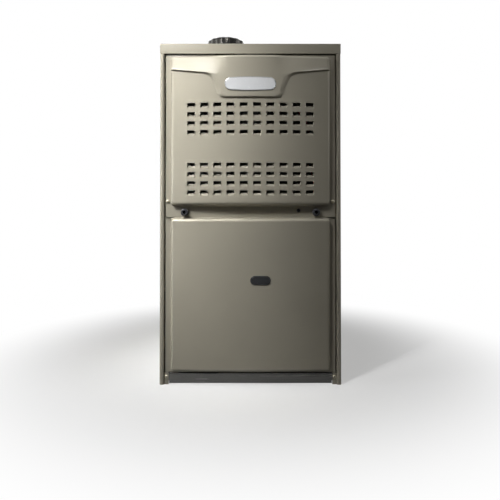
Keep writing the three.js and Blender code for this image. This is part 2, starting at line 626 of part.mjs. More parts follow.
function inducerWheel() {
  const { x, z, wheel } = INDUCER;
  const disc = rod(wheel, FLUE.y - 22, FLUE.y - 20, "y", [x, 0, z], 24);
  const hub = rod(12, FLUE.y - 22, FLUE.y + 2, "y", [x, 0, z], 12);
  const axle = rod(4, INDUCER_NOSE - 17, FLUE.y - 2, "y", [x, 0, z], 10);
  const blades = Array.from({ length: 10 }, (_, n) => {
    const blade = new THREE.BoxGeometry(44, 36, 2).translate(wheel - 22.5, FLUE.y - 3, 0);
    return solid(blade.rotateY((n * Math.PI) / 5).translate(x, 0, z));
  });
  return join(disc, hub, axle, blades);
}
function inducerMotor() {
  const { x, z, motor } = INDUCER;
  const profile = [
    [4.5, INDUCER_FACE], [60, INDUCER_FACE], [60, INDUCER_FACE - 2.5], [motor - 6, INDUCER_FACE - 2.5],
    [motor, INDUCER_FACE - 10], [motor, INDUCER_NOSE + 10], [motor - 8, INDUCER_NOSE + 2],
    [22, INDUCER_NOSE], [4.5, INDUCER_NOSE],
  ];
  return turned(profile, "y", [x, 0, z], 22);
}
function inducerCoolingFan() {
  const { x, z } = INDUCER;
  const middle = INDUCER_NOSE - 9;
  const hub = pipe(4.4, 11, middle - 6, middle + 6, "y", [x, 0, z], 14);
  const blades = Array.from({ length: 6 }, (_, n) => {
    const blade = new THREE.BoxGeometry(28, 1.8, 11).rotateX(0.6).translate(23, middle, 0);
    return solid(blade.rotateY((n * Math.PI) / 3).translate(x, 0, z));
  });
  return join(hub, blades);
}

// Disc-shaped switch that proves the inducer's suction before the gas valve may open.
function pressureSwitch() {
  const { x, z, radius, front, back } = PROVER;
  const wall = PARTITION_Y - SKIN - GAP;
  const drum = turned(
    [[0, front], [radius - 8, front], [radius - 6, front + 8], [radius, front + 10], [radius, back - 8],
      [radius - 4, back], [0, back]],
    "y", [x, 0, z], 20,
  );
  const port = rod(3, front - 8, front + 2, "y", [x, 0, z], 8);
  const bracket = box(x - 12, x + 12, back - 2, wall, z - 10, z - 6);
  const foot = box(x - 12, x + 12, wall - 2, wall, z - 22, z - 6);
  return join(drum, port, bracket, foot);
}
function pressureHose() {
  const { x, z, front } = PROVER;
  const [endX, endZ] = [INDUCER.x + INDUCER.radius + 6 + GAP, INDUCER.z + 14];
  return hose([
    [x, front - 8 - GAP, z], [x, front - 22, z + 1], [x - 6, front - 42, z + 12],
    [x - 22, front - 54, z + 32],
    [endX + 30, FLUE.y - 6, endZ + 4], [endX + 13, FLUE.y - 1, endZ], [endX, FLUE.y, endZ],
  ], 4, 20);
}

// An inshot burner: a thin turned tube with a venturi throat behind its mouth.
function burner(x) {
  const { head, mouth } = BURNER;
  const outside = [[17, mouth], [12.5, mouth + 24], [12.5, mouth + 60], [19, mouth + 80], [19, head]];
  const inside = outside.map(([r, y]) => [r - 1.3, y]).reverse();
  return turned([...outside, ...inside], "y", [x, 0, CELL.inlet], 12);
}
function burnerRack() {
  const [half, back] = [131, PARTITION_Y - SKIN - GAP];
  const fold = [[-half, back], [-half, BURNER.rack], [half, BURNER.rack], [half, back]];
  const section = strip(fold, SHEET, 2);
  const holes = CELLS.map((x) => rod(16, BURNER.rack - 5, BURNER.rack + 5, "y", [x, 0, CELL.inlet], 20));
  return cut(prismZ(section, CELL.inlet - 33, CELL.inlet + 42), holes);
}
function gasManifold() {
  const { y, radius, from, to } = MANIFOLD;
  const bar = rod(radius, from, to, "x", [0, y, CELL.inlet], 16);
  const endCap = rod(radius + 3, to - 14, to + 4, "x", [0, y, CELL.inlet], 6);
  const spuds = CELLS.map((x) => rod(6, y + radius - 2, BURNER.mouth - 2, "y", [x, 0, CELL.inlet], 6));
  const rackFace = BURNER.rack - SKIN - GAP;
  const arms = [-46, 46].map((x) => join(
    box(x - 8, x + 8, y + 4, rackFace, CELL.inlet + 6, CELL.inlet + 8),
    box(x - 8, x + 8, rackFace - 1.6, rackFace, CELL.inlet + 6, CELL.inlet + 24),
  ));
  return join(bar, endCap, spuds, arms);
}

function gasValve() {
  const { left, right, front, back, low, high } = VALVE;
  const [midX, midY] = [(left + right) / 2, (front + back) / 2];
  const body = box(left + 4, right - 4, front, back, low, high - 12);
  const cheeks = box(left, right, front + 10, back - 10, low + 8, high - 22);
  const coil = rod(19, high - 14, high + 22, "z", [midX, midY + 10, 0], 20);
  const regulator = rod(9, high - 14, high + 8, "z", [midX + 12, midY - 22, 0], 12);
  const inlet = rod(17, left - 8, left + 2, "x", [0, MANIFOLD.y, CELL.inlet], 8);
  const outlet = rod(16, right - 6, right + 6, "x", [0, MANIFOLD.y, CELL.inlet], 8);
  const bore = rod(10, left - 12, left, "x", [0, MANIFOLD.y, CELL.inlet], 16);
  const knobBore = rod(4.5, front - 5, front + 12, "y", [SWITCH_KNOB.x, 0, SWITCH_KNOB.z], 12);
  return cut(join(body, cheeks, coil, regulator, inlet, outlet), bore, knobBore);
}
function gasValveKnob() {
  const { x, z, radius } = SWITCH_KNOB;
  const face = VALVE.front - GAP;
  const disc = rod(radius, face - 6, face, "y", [x, 0, z], 24);
  const grip = box(x - radius + 2, x + radius - 2, face - 13, face - 5, z - 2.5, z + 2.5);
  const spindle = rod(4, face - 1, face + 10, "y", [x, 0, z], 12);
  return join(disc, grip, spindle);
}
function gasLineGrommet() {
  const [bead, r] = [12, GAS_HOLE.radius - GAP];
  const [outer, seat, inner] = [-HALF_WIDTH, -HALF_WIDTH + SHEET + GAP, -HALF_WIDTH + 2 * SHEET];
  const profile = [[bead, outer], [r, outer], [r, seat], [r + 3, seat], [r + 3, inner], [bead, inner]];
  return turned(profile, "x", [0, GAS_HOLE.y, GAS_HOLE.z], 18);
}

function hotSurfaceIgnitor() {
  const x = CELLS[2];
  const base = box(x + 25, x + 39, -147, -113, CELL.inlet - 7, CELL.inlet + 7);
  const element = box(x - 12, x + 26, -115, -112.5, CELL.inlet - 4, CELL.inlet + 4);
  const slit = box(x - 8, x + 21, -120, -110, CELL.inlet - 0.8, CELL.inlet + 0.8);
  return cut(join(base, element), slit);
}
function flameSensor() {
  const x = CELLS[0];
  const insulator = rod(5, x - 39, x - 24, "x", [0, -113, CELL.inlet], 12);
  const probe = rod(1.5, x - 25, x + 8, "x", [0, -113, CELL.inlet], 8);
  const strap = box(x - 38, x - 36.5, -146, -112, CELL.inlet - 6, CELL.inlet + 6);
  return join(insulator, probe, strap);
}
function rolloutSwitch(x) {
  const [y, z] = [BURNER.rack - SKIN - GAP, CELL.inlet + 33];
  const plate = box(x - 13, x + 13, y - 1.6, y, z - 7, z + 7);
  const can = rod(8.5, y - 12, y - 1, "y", [x, 0, z], 16);
  const blades = [-4, 4].map((dx) => box(x + dx - 0.5, x + dx + 0.5, y - 20, y - 11, z - 3, z + 3));
  return join(plate, can, blades);
}
function limitSwitch() {
  const y = PARTITION_Y - SKIN - GAP;
  const plate = box(LIMIT.x - 17, LIMIT.x + 17, y - 1.6, y, LIMIT.z - 11, LIMIT.z + 11);
  const can = rod(11, y - 13, y - 1, "y", [LIMIT.x, 0, LIMIT.z], 18);
  const probe = rod(8, y - 2, y + 40, "y", [LIMIT.x, 0, LIMIT.z], 14);
  return join(plate, can, probe);
}

// ---------------------------------------------------------------- blower

// Scroll in side view: a drum whose outlet rises at the back, with the cut-off at its front.
function scrollOutline(wall) {
  const { y, z } = AXLE;
  const r = SCROLL.radius - wall;
  const top = SCROLL.top + (wall ? 10 : 0);
  const cutoff = THREE.MathUtils.degToRad(122);
  const shape = new THREE.Shape();
  shape.moveTo(y + r, top);
  shape.lineTo(y + r, z);
  shape.absarc(y, z, r, 0, cutoff - 2 * Math.PI, true);
  shape.lineTo(62 + wall, 392);
  shape.lineTo(62 + wall, top);
  return shape;
}
function blowerHousing() {
  const { half, wall, inlet } = SCROLL;
  const outside = prismX(scrollOutline(0), -half, half, 12);
  const inside = prismX(scrollOutline(wall), -half + wall, half - wall, 12);
  const eyes = rod(inlet, -half - 5, half + 5, "x", [0, AXLE.y, AXLE.z], 20);
  const rings = mirrored((s) => {
    const [from, to] = s > 0 ? [half - 8, half] : [-half, -half + 8];
    return pipe(inlet, inlet + 1.6, from, to, "x", [0, AXLE.y, AXLE.z], 20);
  });
  return join(cut(outside, inside, eyes), rings);
}
function blowerWheel() {
  const { half, radius, blades, chord } = WHEEL;
  const through = [0, AXLE.y, AXLE.z];
  const disc = rod(radius - 2, -1.2, 1.2, "x", through, 20);
  const rims = [-half, half - 4].map((from) => pipe(radius - 13, radius, from, from + 4, "x", through, 20));
  const hub = rod(16, -22, 22, "x", through, 12);
  const vanes = Array.from({ length: blades }, (_, n) => {
    const vane = new THREE.BoxGeometry(2 * half - 2, chord, 1.4).rotateX(0.5).translate(0, radius - 9, 0);
    return solid(vane.rotateX((n * 2 * Math.PI) / blades).translate(...through));
  });
  return cut(join(disc, rims, hub, vanes), rod(SHAFT + GAP, -40, 40, "x", through, 12));
}
const blowerShaft = () => rod(SHAFT, -34, MOTOR.to + 8, "x", [0, AXLE.y, AXLE.z], 12);
function blowerMotor() {
  const { radius, from, to } = MOTOR;
  const bore = SHAFT + GAP;
  const profile = [
    [bore, from], [26, from], [28, from + 6], [radius - 6, from + 8], [radius, from + 16],
    [radius, to - 16], [radius - 6, to - 8], [28, to - 5], [26, to], [bore, to],
  ];
  return turned(profile, "x", [0, AXLE.y, AXLE.z], 20);
}
function motorMount() {
  const through = [0, AXLE.y, AXLE.z];
  const [from, to] = [SCROLL.half - 8, SCROLL.half + 14];
  const band = pipe(MOTOR.radius + GAP, MOTOR.radius + 2.4, from, to, "x", through, 20);
  const face = SCROLL.half + GAP;
  const root = MOTOR.radius + 1.5;
  const reach = SCROLL.inlet + 12 - root;
  const arms = [0, 1, 2].map((n) => {
    const arm = new THREE.BoxGeometry(2.4, reach, 16).translate(face + 1.2, root + reach / 2, 0);
    return solid(arm.rotateX(0.6 + (n * 2 * Math.PI) / 3).translate(...through));
  });
  return join(band, arms);
}
function runCapacitor() {
  const [x, y] = [70, AXLE.y - SCROLL.radius - 22];
  const can = rod(18, 196, 262, "z", [x, y, 0], 20);
  const lid = rod(19, 258, 264, "z", [x, y, 0], 20);
  const saddle = box(x - 10, x + 10, y + 10, AXLE.y - SCROLL.radius - GAP, 222, 236);
  return join(can, lid, saddle);
}

// ---------------------------------------------------------------- controls

function controlBox() {
  const { left, right, front, back, low, high } = BOX;
  const shell = box(left, right, front, back, low, high);
  const inner = box(left + SHEET, right - SHEET, front - 5, back - SHEET, low + SHEET, high - SHEET);
  const hangers = [left + 12, right - 32].map((x) =>
    box(x, x + 20, back - SHEET, back, high - 2, DECK_TOP - SHEET - GAP));
  return join(cut(shell, inner), hangers);
}
function controlBoard() {
  const back = BOX.back - SHEET - GAP;
  const face = back - 8;
  const board = box(-82, 62, face - 1.8, face, 198, 332);
  const posts = [[-74, 206], [54, 206], [-74, 324], [54, 324]].map(([x, z]) =>
    rod(3, face - 1, back, "y", [x, 0, z], 8));
  const relays = [-72, -48, -24].map((x) => box(x, x + 20, face - 17, face - 1, 292, 320));
  const strip = box(-70, 0, face - 12, face - 1, 202, 212);
  const chip = box(-34, -12, face - 4, face - 1, 246, 268);
  const lamp = rod(3, face - 9, face - 1, "y", [WINDOW.x, 0, WINDOW.z], 10);
  const fuse = box(10, 46, face - 12, face - 1, 222, 228);
  return join(board, posts, relays, strip, chip, lamp, fuse);
}
function transformer() {
  const back = BOX.back - SHEET - GAP;
  const foot = box(66, 111, back - 2, back, 214, 286);
  const core = box(68, 109, back - 30, back - 1, 224, 276);
  const coil = box(74, 103, back - 35, back - 4, 218, 282);
  return join(foot, core, coil);
}
function doorSwitch() {
  const { x, z, size } = PLUNGER;
  const body = box(x - 14, x + 14, -316, -292, z - 11, z + 11);
  const bracket = box(x - 10, x + 10, -300, -298, z + 10, DECK_TOP - SHEET - GAP);
  const guide = size / 2 + 0.4;
  return cut(join(body, bracket), box(x - guide, x + guide, -320, -300, z - guide, z + guide));
}
function doorSwitchButton() {
  const { x, z, size, tip } = PLUNGER;
  return box(x - size / 2, x + size / 2, tip, -306, z - size / 2, z + size / 2);
}
function wireHarness() {
  const { x, y } = HARNESS_HOLE;
  return hose([
    [BOX.right + GAP, -198, 300], [BOX.right + 16, -198, 300], [x - 16, y, 318], [x - 1, y, 350], [x, y, 400],
    [x, y, 450], [x, y, 500], [x - 4, y + 14, 535], [LIMIT.x, y + 46, 556], [LIMIT.x, PARTITION_Y - 24, 560],
    [LIMIT.x, PARTITION_Y - 14, 560],
  ], 6, 30);
}

// ---------------------------------------------------------------- assembly

const furnace = new THREE.Group();

function place(name, body, finish) {
  const { numProp, vertProperties, triVerts } = body.getMesh();
  const geometry = new THREE.BufferGeometry();
  geometry.setAttribute("position", new THREE.InterleavedBufferAttribute(
    new THREE.InterleavedBuffer(vertProperties, numProp), 3, 0,
  ));
  geometry.setIndex(new THREE.BufferAttribute(triVerts, 1));
  geometry.computeVertexNormals();
  const mesh = new THREE.Mesh(geometry, finish);
  mesh.name = name;
  furnace.add(mesh);
}

place("casing_wrapper", casingWrapper(), FINISH.paint);
place("top_cap", topCap(), FINISH.paint);
place("supply_duct_frame", supplyDuctFrame(), FINISH.galvanised);
place("base_rail", baseRail(), FINISH.galvanised);
place("blower_deck", blowerDeck(), FINISH.galvanised);
place("vestibule_panel", vestibulePanel(), FINISH.aluminised);
place("liner_left", liner(-1), FINISH.foil);
place("liner_right", liner(1), FINISH.foil);

place("upper_access_panel", upperAccessPanel(), FINISH.paint);
place("lower_access_panel", lowerAccessPanel(), FINISH.paint);
place("badge_plate", badgePlate(), FINISH.badge);
place("sight_glass_gasket", sightGlassGasket(), FINISH.rubber);
place("sight_glass", sightGlass(), FINISH.darkGlass);
place("lower_panel_insulation", lowerPanelInsulation(), FINISH.fibre);

for (const [name, side] of [["left", -1], ["right", 1]]) {
  place(`latch_knob_${name}`, latchKnob(side), FINISH.blackPlastic);
  place(`latch_cam_${name}`, latchCam(side), FINISH.galvanised);
  place(`panel_screw_${name}`, screw(side * DOOR_SCREW.x, DOOR_SCREW.z, 4.8, 19), FINISH.zincScrew);
  place(`base_screw_${name}`, screw(side * BASE_SCREW.x, BASE_SCREW.z, 4.8, 9), FINISH.zincScrew);
}
place("panel_screw_black", screw(BLACK_SCREW.x, BLACK_SCREW.z, 4.9, 19), FINISH.blackScrew);

place("flue_pipe", fluePipe(), FINISH.flueSteel);
place("flue_ring", flueRing(), FINISH.galvanised);
place("flue_collector_box", flueCollectorBox(), FINISH.aluminised);
place("inducer_housing", inducerHousing(), FINISH.flueSteel);
place("inducer_wheel", inducerWheel(), FINISH.galvanised);
place("inducer_motor", inducerMotor(), FINISH.motorPaint);
place("inducer_cooling_fan", inducerCoolingFan(), FINISH.blackPlastic);
place("pressure_switch", pressureSwitch(), FINISH.whitePlastic);
place("pressure_hose", pressureHose(), FINISH.silicone);

CELLS.forEach((x, n) => {
  place(`heat_exchanger_${CELL_NAMES[n]}`, heatExchangerCell(x), FINISH.aluminised);
  place(`burner_${CELL_NAMES[n]}`, burner(x), FINISH.aluminised);
});
place("burner_rack", burnerRack(), FINISH.galvanised);
place("gas_manifold", gasManifold(), FINISH.flueSteel);
place("gas_valve", gasValve(), FINISH.castAluminium);
place("gas_valve_knob", gasValveKnob(), FINISH.redPlastic);
place("gas_line_grommet", gasLineGrommet(), FINISH.rubber);
place("hot_surface_ignitor", hotSurfaceIgnitor(), FINISH.ceramic);
place("flame_sensor", flameSensor(), FINISH.ceramic);
place("rollout_switch_left", rolloutSwitch(-44), FINISH.blackPlastic);
place("rollout_switch_right", rolloutSwitch(44), FINISH.blackPlastic);
place("limit_switch", limitSwitch(), FINISH.blackPlastic);

place("blower_housing", blowerHousing(), FINISH.galvanised);
place("blower_wheel", blowerWheel(), FINISH.galvanised);
place("blower_shaft", blowerShaft(), FINISH.zincScrew);
place("blower_motor", blowerMotor(), FINISH.motorPaint);
place("motor_mount", motorMount(), FINISH.galvanised);
place("run_capacitor", runCapacitor(), FINISH.aluminised);
place("control_box", controlBox(), FINISH.galvanised);
place("control_board", controlBoard(), FINISH.circuit);
place("transformer", transformer(), FINISH.motorPaint);
place("door_switch", doorSwitch(), FINISH.blackPlastic);
place("door_switch_button", doorSwitchButton(), FINISH.whitePlastic);
place("wire_harness", wireHarness(), FINISH.cable);

export default furnace;
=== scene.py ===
"""Forced air gas furnace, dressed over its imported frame: pressed panels, trim, works, finishes and a studio.

Metres, +Z up, the front faces -Y. Shapes are drawn in millimetres and scaled as each piece is finished.
"""

import json
import math

import bmesh
import bpy
from bpy.props import FloatProperty, FloatVectorProperty, PointerProperty
from mathutils import Matrix, Vector

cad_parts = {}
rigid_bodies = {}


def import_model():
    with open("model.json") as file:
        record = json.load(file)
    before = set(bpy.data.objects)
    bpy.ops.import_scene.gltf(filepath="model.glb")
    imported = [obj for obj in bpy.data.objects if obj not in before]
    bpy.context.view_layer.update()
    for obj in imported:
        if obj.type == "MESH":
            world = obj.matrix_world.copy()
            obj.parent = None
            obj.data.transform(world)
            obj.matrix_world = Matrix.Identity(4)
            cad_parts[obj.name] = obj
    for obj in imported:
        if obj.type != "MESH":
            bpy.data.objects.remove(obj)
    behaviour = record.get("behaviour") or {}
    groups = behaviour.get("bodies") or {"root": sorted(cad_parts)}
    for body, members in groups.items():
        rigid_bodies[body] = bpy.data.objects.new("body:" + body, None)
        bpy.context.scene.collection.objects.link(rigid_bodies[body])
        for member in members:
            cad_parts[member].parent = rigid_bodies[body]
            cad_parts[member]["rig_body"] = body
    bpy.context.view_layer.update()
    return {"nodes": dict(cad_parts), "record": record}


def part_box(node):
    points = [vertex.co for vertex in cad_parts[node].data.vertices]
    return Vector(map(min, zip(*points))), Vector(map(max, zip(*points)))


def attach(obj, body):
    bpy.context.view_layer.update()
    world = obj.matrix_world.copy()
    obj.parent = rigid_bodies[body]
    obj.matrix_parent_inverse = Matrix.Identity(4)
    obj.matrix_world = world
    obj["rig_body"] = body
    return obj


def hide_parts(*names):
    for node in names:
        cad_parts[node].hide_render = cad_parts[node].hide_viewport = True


bl_info = {
    "name": "Forced Air Gas Furnace",
    "version": (1, 0, 0),
    "blender": (4, 5, 0),
    "location": "3D View > Sidebar > Furnace",
    "description": "Dresses the packed furnace with pressed panels, works, finishes and a studio",
    "category": "Object",
}

MM = 0.001
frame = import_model()
SLOT_OF = {part["node"]: part["material_slot"] for part in frame["record"]["subparts"]}
BODY_OF = {node: piece["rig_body"] for node, piece in frame["nodes"].items()}
COLOUR_OF = {entry["slot"]: entry["base_color"] for entry in frame["record"]["materials"]}


def span(node):
    """A node's lowest and highest corner, in millimetres."""
    low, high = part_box(node)
    return low / MM, high / MM


UPPER_LOW, UPPER_HIGH = span("upper_access_panel")
LOWER_LOW, LOWER_HIGH = span("lower_access_panel")
DOOR_BACK = UPPER_HIGH.y
RIM_FACE = DOOR_BACK - 14.0  # the flat rim of both panels
HEAD_SEAT = DOOR_BACK - 14.35  # where the knobs and the screw heads sit


# ---------------------------------------------------------------- settings


def length(name, description, value):
    """A size in metres that starts at a value given in millimetres."""
    return FloatProperty(name=name, description=description, default=value * MM, unit="LENGTH", precision=4)


def colour(name, description, value):
    return FloatVectorProperty(name=name, description=description, default=value, subtype="COLOR",
                               min=0.0, max=1.0)


def power(name, lamp, value):
    return FloatProperty(name=name, description=f"Power of the {lamp}", default=value, subtype="POWER")


class FurnacePanelSizes(bpy.types.PropertyGroup):
    """Sizes of the two pressed access panels and their trim."""

    rise: length("Rise", "How far a panel's face stands out of its rim at its sides", 12)
    crown: length("Crown", "How much further the face stands out at its middle", 11.5)
    half_width: length("Half Width", "Half the width of a panel's raised face", 195)
    corner: length("Corner", "Radius of the raised face's corners", 9)
    shoulder: length("Shoulder", "Radius of the fold round the raised face", 6.5)
    brow: length("Brow", "How far the brow stands out of the face", 4)
    brow_fall: length("Brow Fall", "How far the brow's wings lean back at their top", 4.6)
    louvre_depth: length("Louvre Depth", "How far a louvre's tongue is pressed in", 5.4)
    sheet: length("Sheet", "Thickness of the panel steel", 1.2)


class FurnaceColours(bpy.types.PropertyGroup):
    """Colours of the finishes that show from outside."""

    paint: colour("Cabinet Paint", "Baked enamel of the cabinet", (0.41, 0.382, 0.31))
    zinc: colour("Galvanised Steel", "Bare zinc-coated sheet", COLOUR_OF["galvanised_steel"])
    badge: colour("Badge", "Enamel of the blank badge plate", COLOUR_OF["badge_enamel"])
    flue: colour("Flue", "Coated steel of the flue pipe", (0.3, 0.29, 0.27))
    slate: colour("Knobs", "Moulded plastic of the knobs", (0.03, 0.031, 0.035))


class FurnaceStudio(bpy.types.PropertyGroup):
    """Camera, lamps and floor."""

    distance: length("Distance", "From the cabinet's front to the camera", 1100)
    eye: length("Eye Height", "Height of the camera", 397)
    lens: FloatProperty(name="Lens", description="Focal length in millimetres", default=32.286)
    pitch: FloatProperty(name="Pitch", description="How far the camera looks up", subtype="ANGLE",
                         default=math.radians(0.701))
    key: power("Key Lamp", "gridded lamp above left", 1.8)
    crest: power("Crest Lamp", "weak lamp above right", 0.045)
    strip: power("Strip Lamp", "lamp at the far left", 9.0)
    glint: power("Glint Lamp", "small lamp that the brow mirrors", 0.009)
    rim: power("Rim Lamp", "weak lamp at the right", 2.3)
    floor: colour("Floor", "Colour of the studio floor", (0.8, 0.8, 0.79))


SETTINGS = {
    "furnace_panels": FurnacePanelSizes,
    "furnace_colours": FurnaceColours,
    "furnace_studio": FurnaceStudio,
}


# ---------------------------------------------------------------- shader maths


class Value:
    """A node's socket that sums can be written with: each sum adds its Math node."""

    def __init__(self, finish, socket):
        self.finish, self.socket = finish, socket

    def __add__(self, other):
        return self.finish.sum("ADD", self, other)

    def __rsub__(self, other):
        return self.finish.sum("SUBTRACT", other, self)

    def __mul__(self, other):
        return self.finish.sum("MULTIPLY", self, other)


class Finish:
    """The nodes of one material, or of the world."""

    def __init__(self, tree):
        self.tree = tree
        tree.nodes.clear()

    def node(self, kind, settings=None, inputs=None, output=0):
        """Adds a node: its settings first, then its sockets' values or links. Gives one of its outputs."""
        made = self.tree.nodes.new("ShaderNode" + kind)
        for name, value in (settings or {}).items():
            setattr(made, name, value)
        for name, value in (inputs or {}).items():
            if isinstance(value, Value):
                self.tree.links.new(value.socket, made.inputs[name])
            else:
                made.inputs[name].default_value = value
        return Value(self, made.outputs[output]) if len(made.outputs) else made

    def sum(self, operation, first, second):
        return self.node("Math", {"operation": operation}, {0: first, 1: second})

    def ray(self, kind):
        """1 for rays of a kind, 0 for all others."""
        return self.node("LightPath", output=f"Is {kind} Ray")

    def place(self):
        return self.node("TexCoord", output="Object")

    def stretched(self, x, y, z):
        """Object coordinates stretched by an amount along each axis."""
        return self.node("Mapping", inputs={"Vector": self.place(), "Scale": (x, y, z)})

    def noise(self, scale, detail=2.0, roughness=0.5, at=None):
        inputs = {"Vector": at or self.place(), "Scale": scale, "Detail": detail, "Roughness": roughness}
        return self.node("TexNoise", inputs=inputs, output="Fac")

    def cells(self, scale, feature="F1", output="Distance"):
        inputs = {"Vector": self.place(), "Scale": scale}
        return self.node("TexVoronoi", {"feature": feature}, inputs, output)

    def flecks(self, scale):
        """A value of its own in every cell."""
        return self.node("SeparateColor", inputs={0: self.cells(scale, output="Color")})

    def bricks(self, offset, scale, mortar, width, height):
        """The lines between rows of bricks that stand upright and face the front."""
        upright = self.node("Mapping", inputs={"Vector": self.place(), "Rotation": (math.pi / 2, 0, 0)})
        return self.node("TexBrick", {"offset": offset}, {
            "Vector": upright, "Scale": scale, "Mortar Size": mortar, "Brick Width": width,
            "Row Height": height,
        }, "Fac")

    def between(self, value, low, high):
        """Maps a value from 0..1 to a range."""
        return value * (high - low) + low

    def mask(self, value, low, high):
        """0 below low, 1 above high, and smooth between them."""
        return self.node("MapRange", {"interpolation_type": "SMOOTHSTEP"},
                         {"Value": value, "From Min": low, "From Max": high})

    def mix(self, factor, first, second):
        return self.node("Mix", {"data_type": "RGBA"}, {0: factor, 6: rgba(first), 7: rgba(second)}, 2)

    def shades(self, factor, base, low, high):
        """A colour between two strengths of itself."""
        return self.mix(factor, shade(base, low), shade(base, high))

    def bump(self, height, distance, strength):
        return self.node("Bump", inputs={"Height": height, "Distance": distance, "Strength": strength})

    def surface(self, **sockets):
        """Ends the material in a Principled shader."""
        sockets["base_color"] = rgba(sockets["base_color"])
        named = {name.replace("_", " ").title().replace("Ior", "IOR"): value
                 for name, value in sockets.items()}
        self.node("OutputMaterial", inputs={"Surface": self.node("BsdfPrincipled", inputs=named)})


def rgba(value):
    return value if isinstance(value, Value) or len(value) == 4 else (*value, 1.0)


def shade(value, factor):
    """A colour made darker or lighter."""
    return tuple(min(1.0, part * factor) for part in value[:3])


# ---------------------------------------------------------------- finishes


def paint_finish(f, base):
    """Satin baked enamel with a metallic flake under a thin clear coat."""
    sparkle = f.flecks(1400.0)
    tint = f.shades(f.mask(f.noise(7.0), 0.3, 0.7), base, 0.97, 1.03)
    f.surface(base_color=f.mix(sparkle * 0.12, tint, shade(base, 1.4)), metallic=0.8,
              roughness=f.between(sparkle, 0.58, 0.65), coat_weight=0.6, coat_roughness=0.18,
              normal=f.bump(f.noise(420.0), 0.00003, 0.4))


def zinc_finish(f, base):
    """Bare zinc-coated sheet with a faint spangle."""
    spangle, fine = f.flecks(75.0), f.noise(600.0, 3.0)
    stain = f.mask(f.noise(9.0, 4.0, 0.6), 0.55, 0.75)
    f.surface(base_color=f.mix(stain * 0.25, f.shades(spangle, base, 0.84, 1.16), shade(base, 0.7)),
              metallic=0.9, roughness=f.between(spangle, 0.3, 0.44) + fine * 0.06,
              normal=f.bump(spangle * 0.5 + fine, 0.00003, 0.5))


def rolled_finish(f, base):
    """Bare steel strip, rolled along its length and bright enough to mirror what is in front of it."""
    streak = f.noise(240.0, 3.0, 0.6, f.stretched(0.015, 1.0, 1.0))
    f.surface(base_color=f.shades(streak, base, 0.85, 1.05), metallic=1.0,
              roughness=f.between(streak, 0.22, 0.3))


def aluminised_finish(f, base):
    """Dull aluminised sheet, tinted by heat in patches."""
    mottle = f.noise(55.0, 4.0, 0.6)
    heat = f.mask(f.noise(11.0, 3.0), 0.5, 0.72)
    warm = f.mix(heat, base, (base[0] * 0.9, base[1] * 0.72, base[2] * 0.5))
    f.surface(base_color=f.mix(mottle * 0.35, warm, shade(base, 0.72)), metallic=0.85,
              roughness=f.between(mottle, 0.38, 0.56), normal=f.bump(mottle, 0.00008, 0.5))


def foil_finish(f, base):
    """Crinkled foil on fibre board, its colour darkened along the creases as painted shade."""
    crease = f.cells(60.0, "DISTANCE_TO_EDGE")
    wave = f.noise(30.0, 3.0)
    f.surface(base_color=f.shades(f.mask(crease, 0.0, 0.05), base, 0.8, 1.0), metallic=0.8,
              roughness=f.between(wave, 0.25, 0.42),
              normal=f.bump(f.mask(crease, 0.0, 0.08) + wave, 0.0006, 0.5))


def fibre_finish(f, base):
    """Glass fibre blanket with a scrim pressed into its face."""
    tufts = f.noise(160.0, 5.0, 0.7)
    scrim = f.bricks(0.0, 100.0, 0.08, 1.0, 1.0)
    f.surface(base_color=f.shades(tufts, base, 0.66, 1.2), roughness=0.95,
              normal=f.bump(tufts + scrim * 0.4, 0.0012, 0.8))


def enamel_finish(f, base):
    """Glossy white enamel with a barely uneven coat."""
    wave = f.noise(120.0)
    f.surface(base_color=f.shades(wave, base, 0.97, 1.03), roughness=f.between(wave, 0.22, 0.3),
              coat_weight=0.4, coat_roughness=0.08, normal=f.bump(wave, 0.00005, 0.4))


def satin_trim_finish(f, base):
    """Satin silver trim, brushed along its length."""
    streak = f.noise(900.0, 2.0, 0.6, f.stretched(0.1, 1.0, 1.0))
    f.surface(base_color=f.shades(streak, base, 0.85, 1.0), metallic=0.95,
              roughness=f.between(streak, 0.24, 0.36))


def plastic_finish(f, base):
    """Moulded plastic with a fine spark-eroded grain."""
    grain = f.noise(1300.0)
    f.surface(base_color=f.shades(f.noise(40.0), base, 0.9, 1.12), roughness=f.between(grain, 0.43, 0.57),
              normal=f.bump(grain, 0.00008, 0.5))


def rubber_finish(f, base):
    """Matt rubber with a dusty bloom."""
    bloom = f.mask(f.noise(90.0, 4.0), 0.5, 0.8)
    f.surface(base_color=f.shades(bloom * 0.5, base, 1.0, 2.4), roughness=f.between(bloom, 0.62, 0.82),
              normal=f.bump(f.noise(900.0), 0.0001, 0.5))


def painted_shade_finish(f, base):
    """Near-black painted shade for the inside of a hole or slot, with a faint dusty mottle."""
    dust = f.noise(300.0, 3.0)
    f.surface(base_color=f.shades(dust, base, 1.0, 1.8), roughness=f.between(dust, 0.85, 0.95),
              specular_ior_level=0.08)


def window_finish(f, base):
    """Smoked clear plastic that looks nearly black, with faint wiping marks."""
    smear = f.noise(60.0, 3.0, 0.6, f.stretched(1.0, 1.0, 3.0))
    f.surface(base_color=f.shades(smear, base, 0.9, 1.25), roughness=f.between(smear, 0.06, 0.15),
              coat_weight=0.6, coat_roughness=0.05)


def bright_finish(f, base):
    """Zinc-plated or ground steel with turning marks."""
    tarnish = f.mask(f.noise(140.0, 3.0), 0.55, 0.8)
    f.surface(base_color=f.shades(tarnish * 0.4, base, 1.0, 0.6), metallic=0.95,
              roughness=f.between(f.noise(1600.0), 0.36, 0.5))


def dark_steel_finish(f, base):
    """Dark coated sheet steel with a soft shine, its colour lighter and darker in patches and in upright
    streaks.
    """
    mottle = f.noise(45.0, 4.0, 0.6)
    streak = f.noise(160.0, 3.0, 0.5, f.stretched(1.0, 1.0, 0.1))
    f.surface(base_color=f.shades(mottle * 0.6 + streak * 0.3, base, 0.6, 1.3), metallic=0.92,
              roughness=f.between(streak, 0.16, 0.26), normal=f.bump(mottle, 0.00006, 0.5))


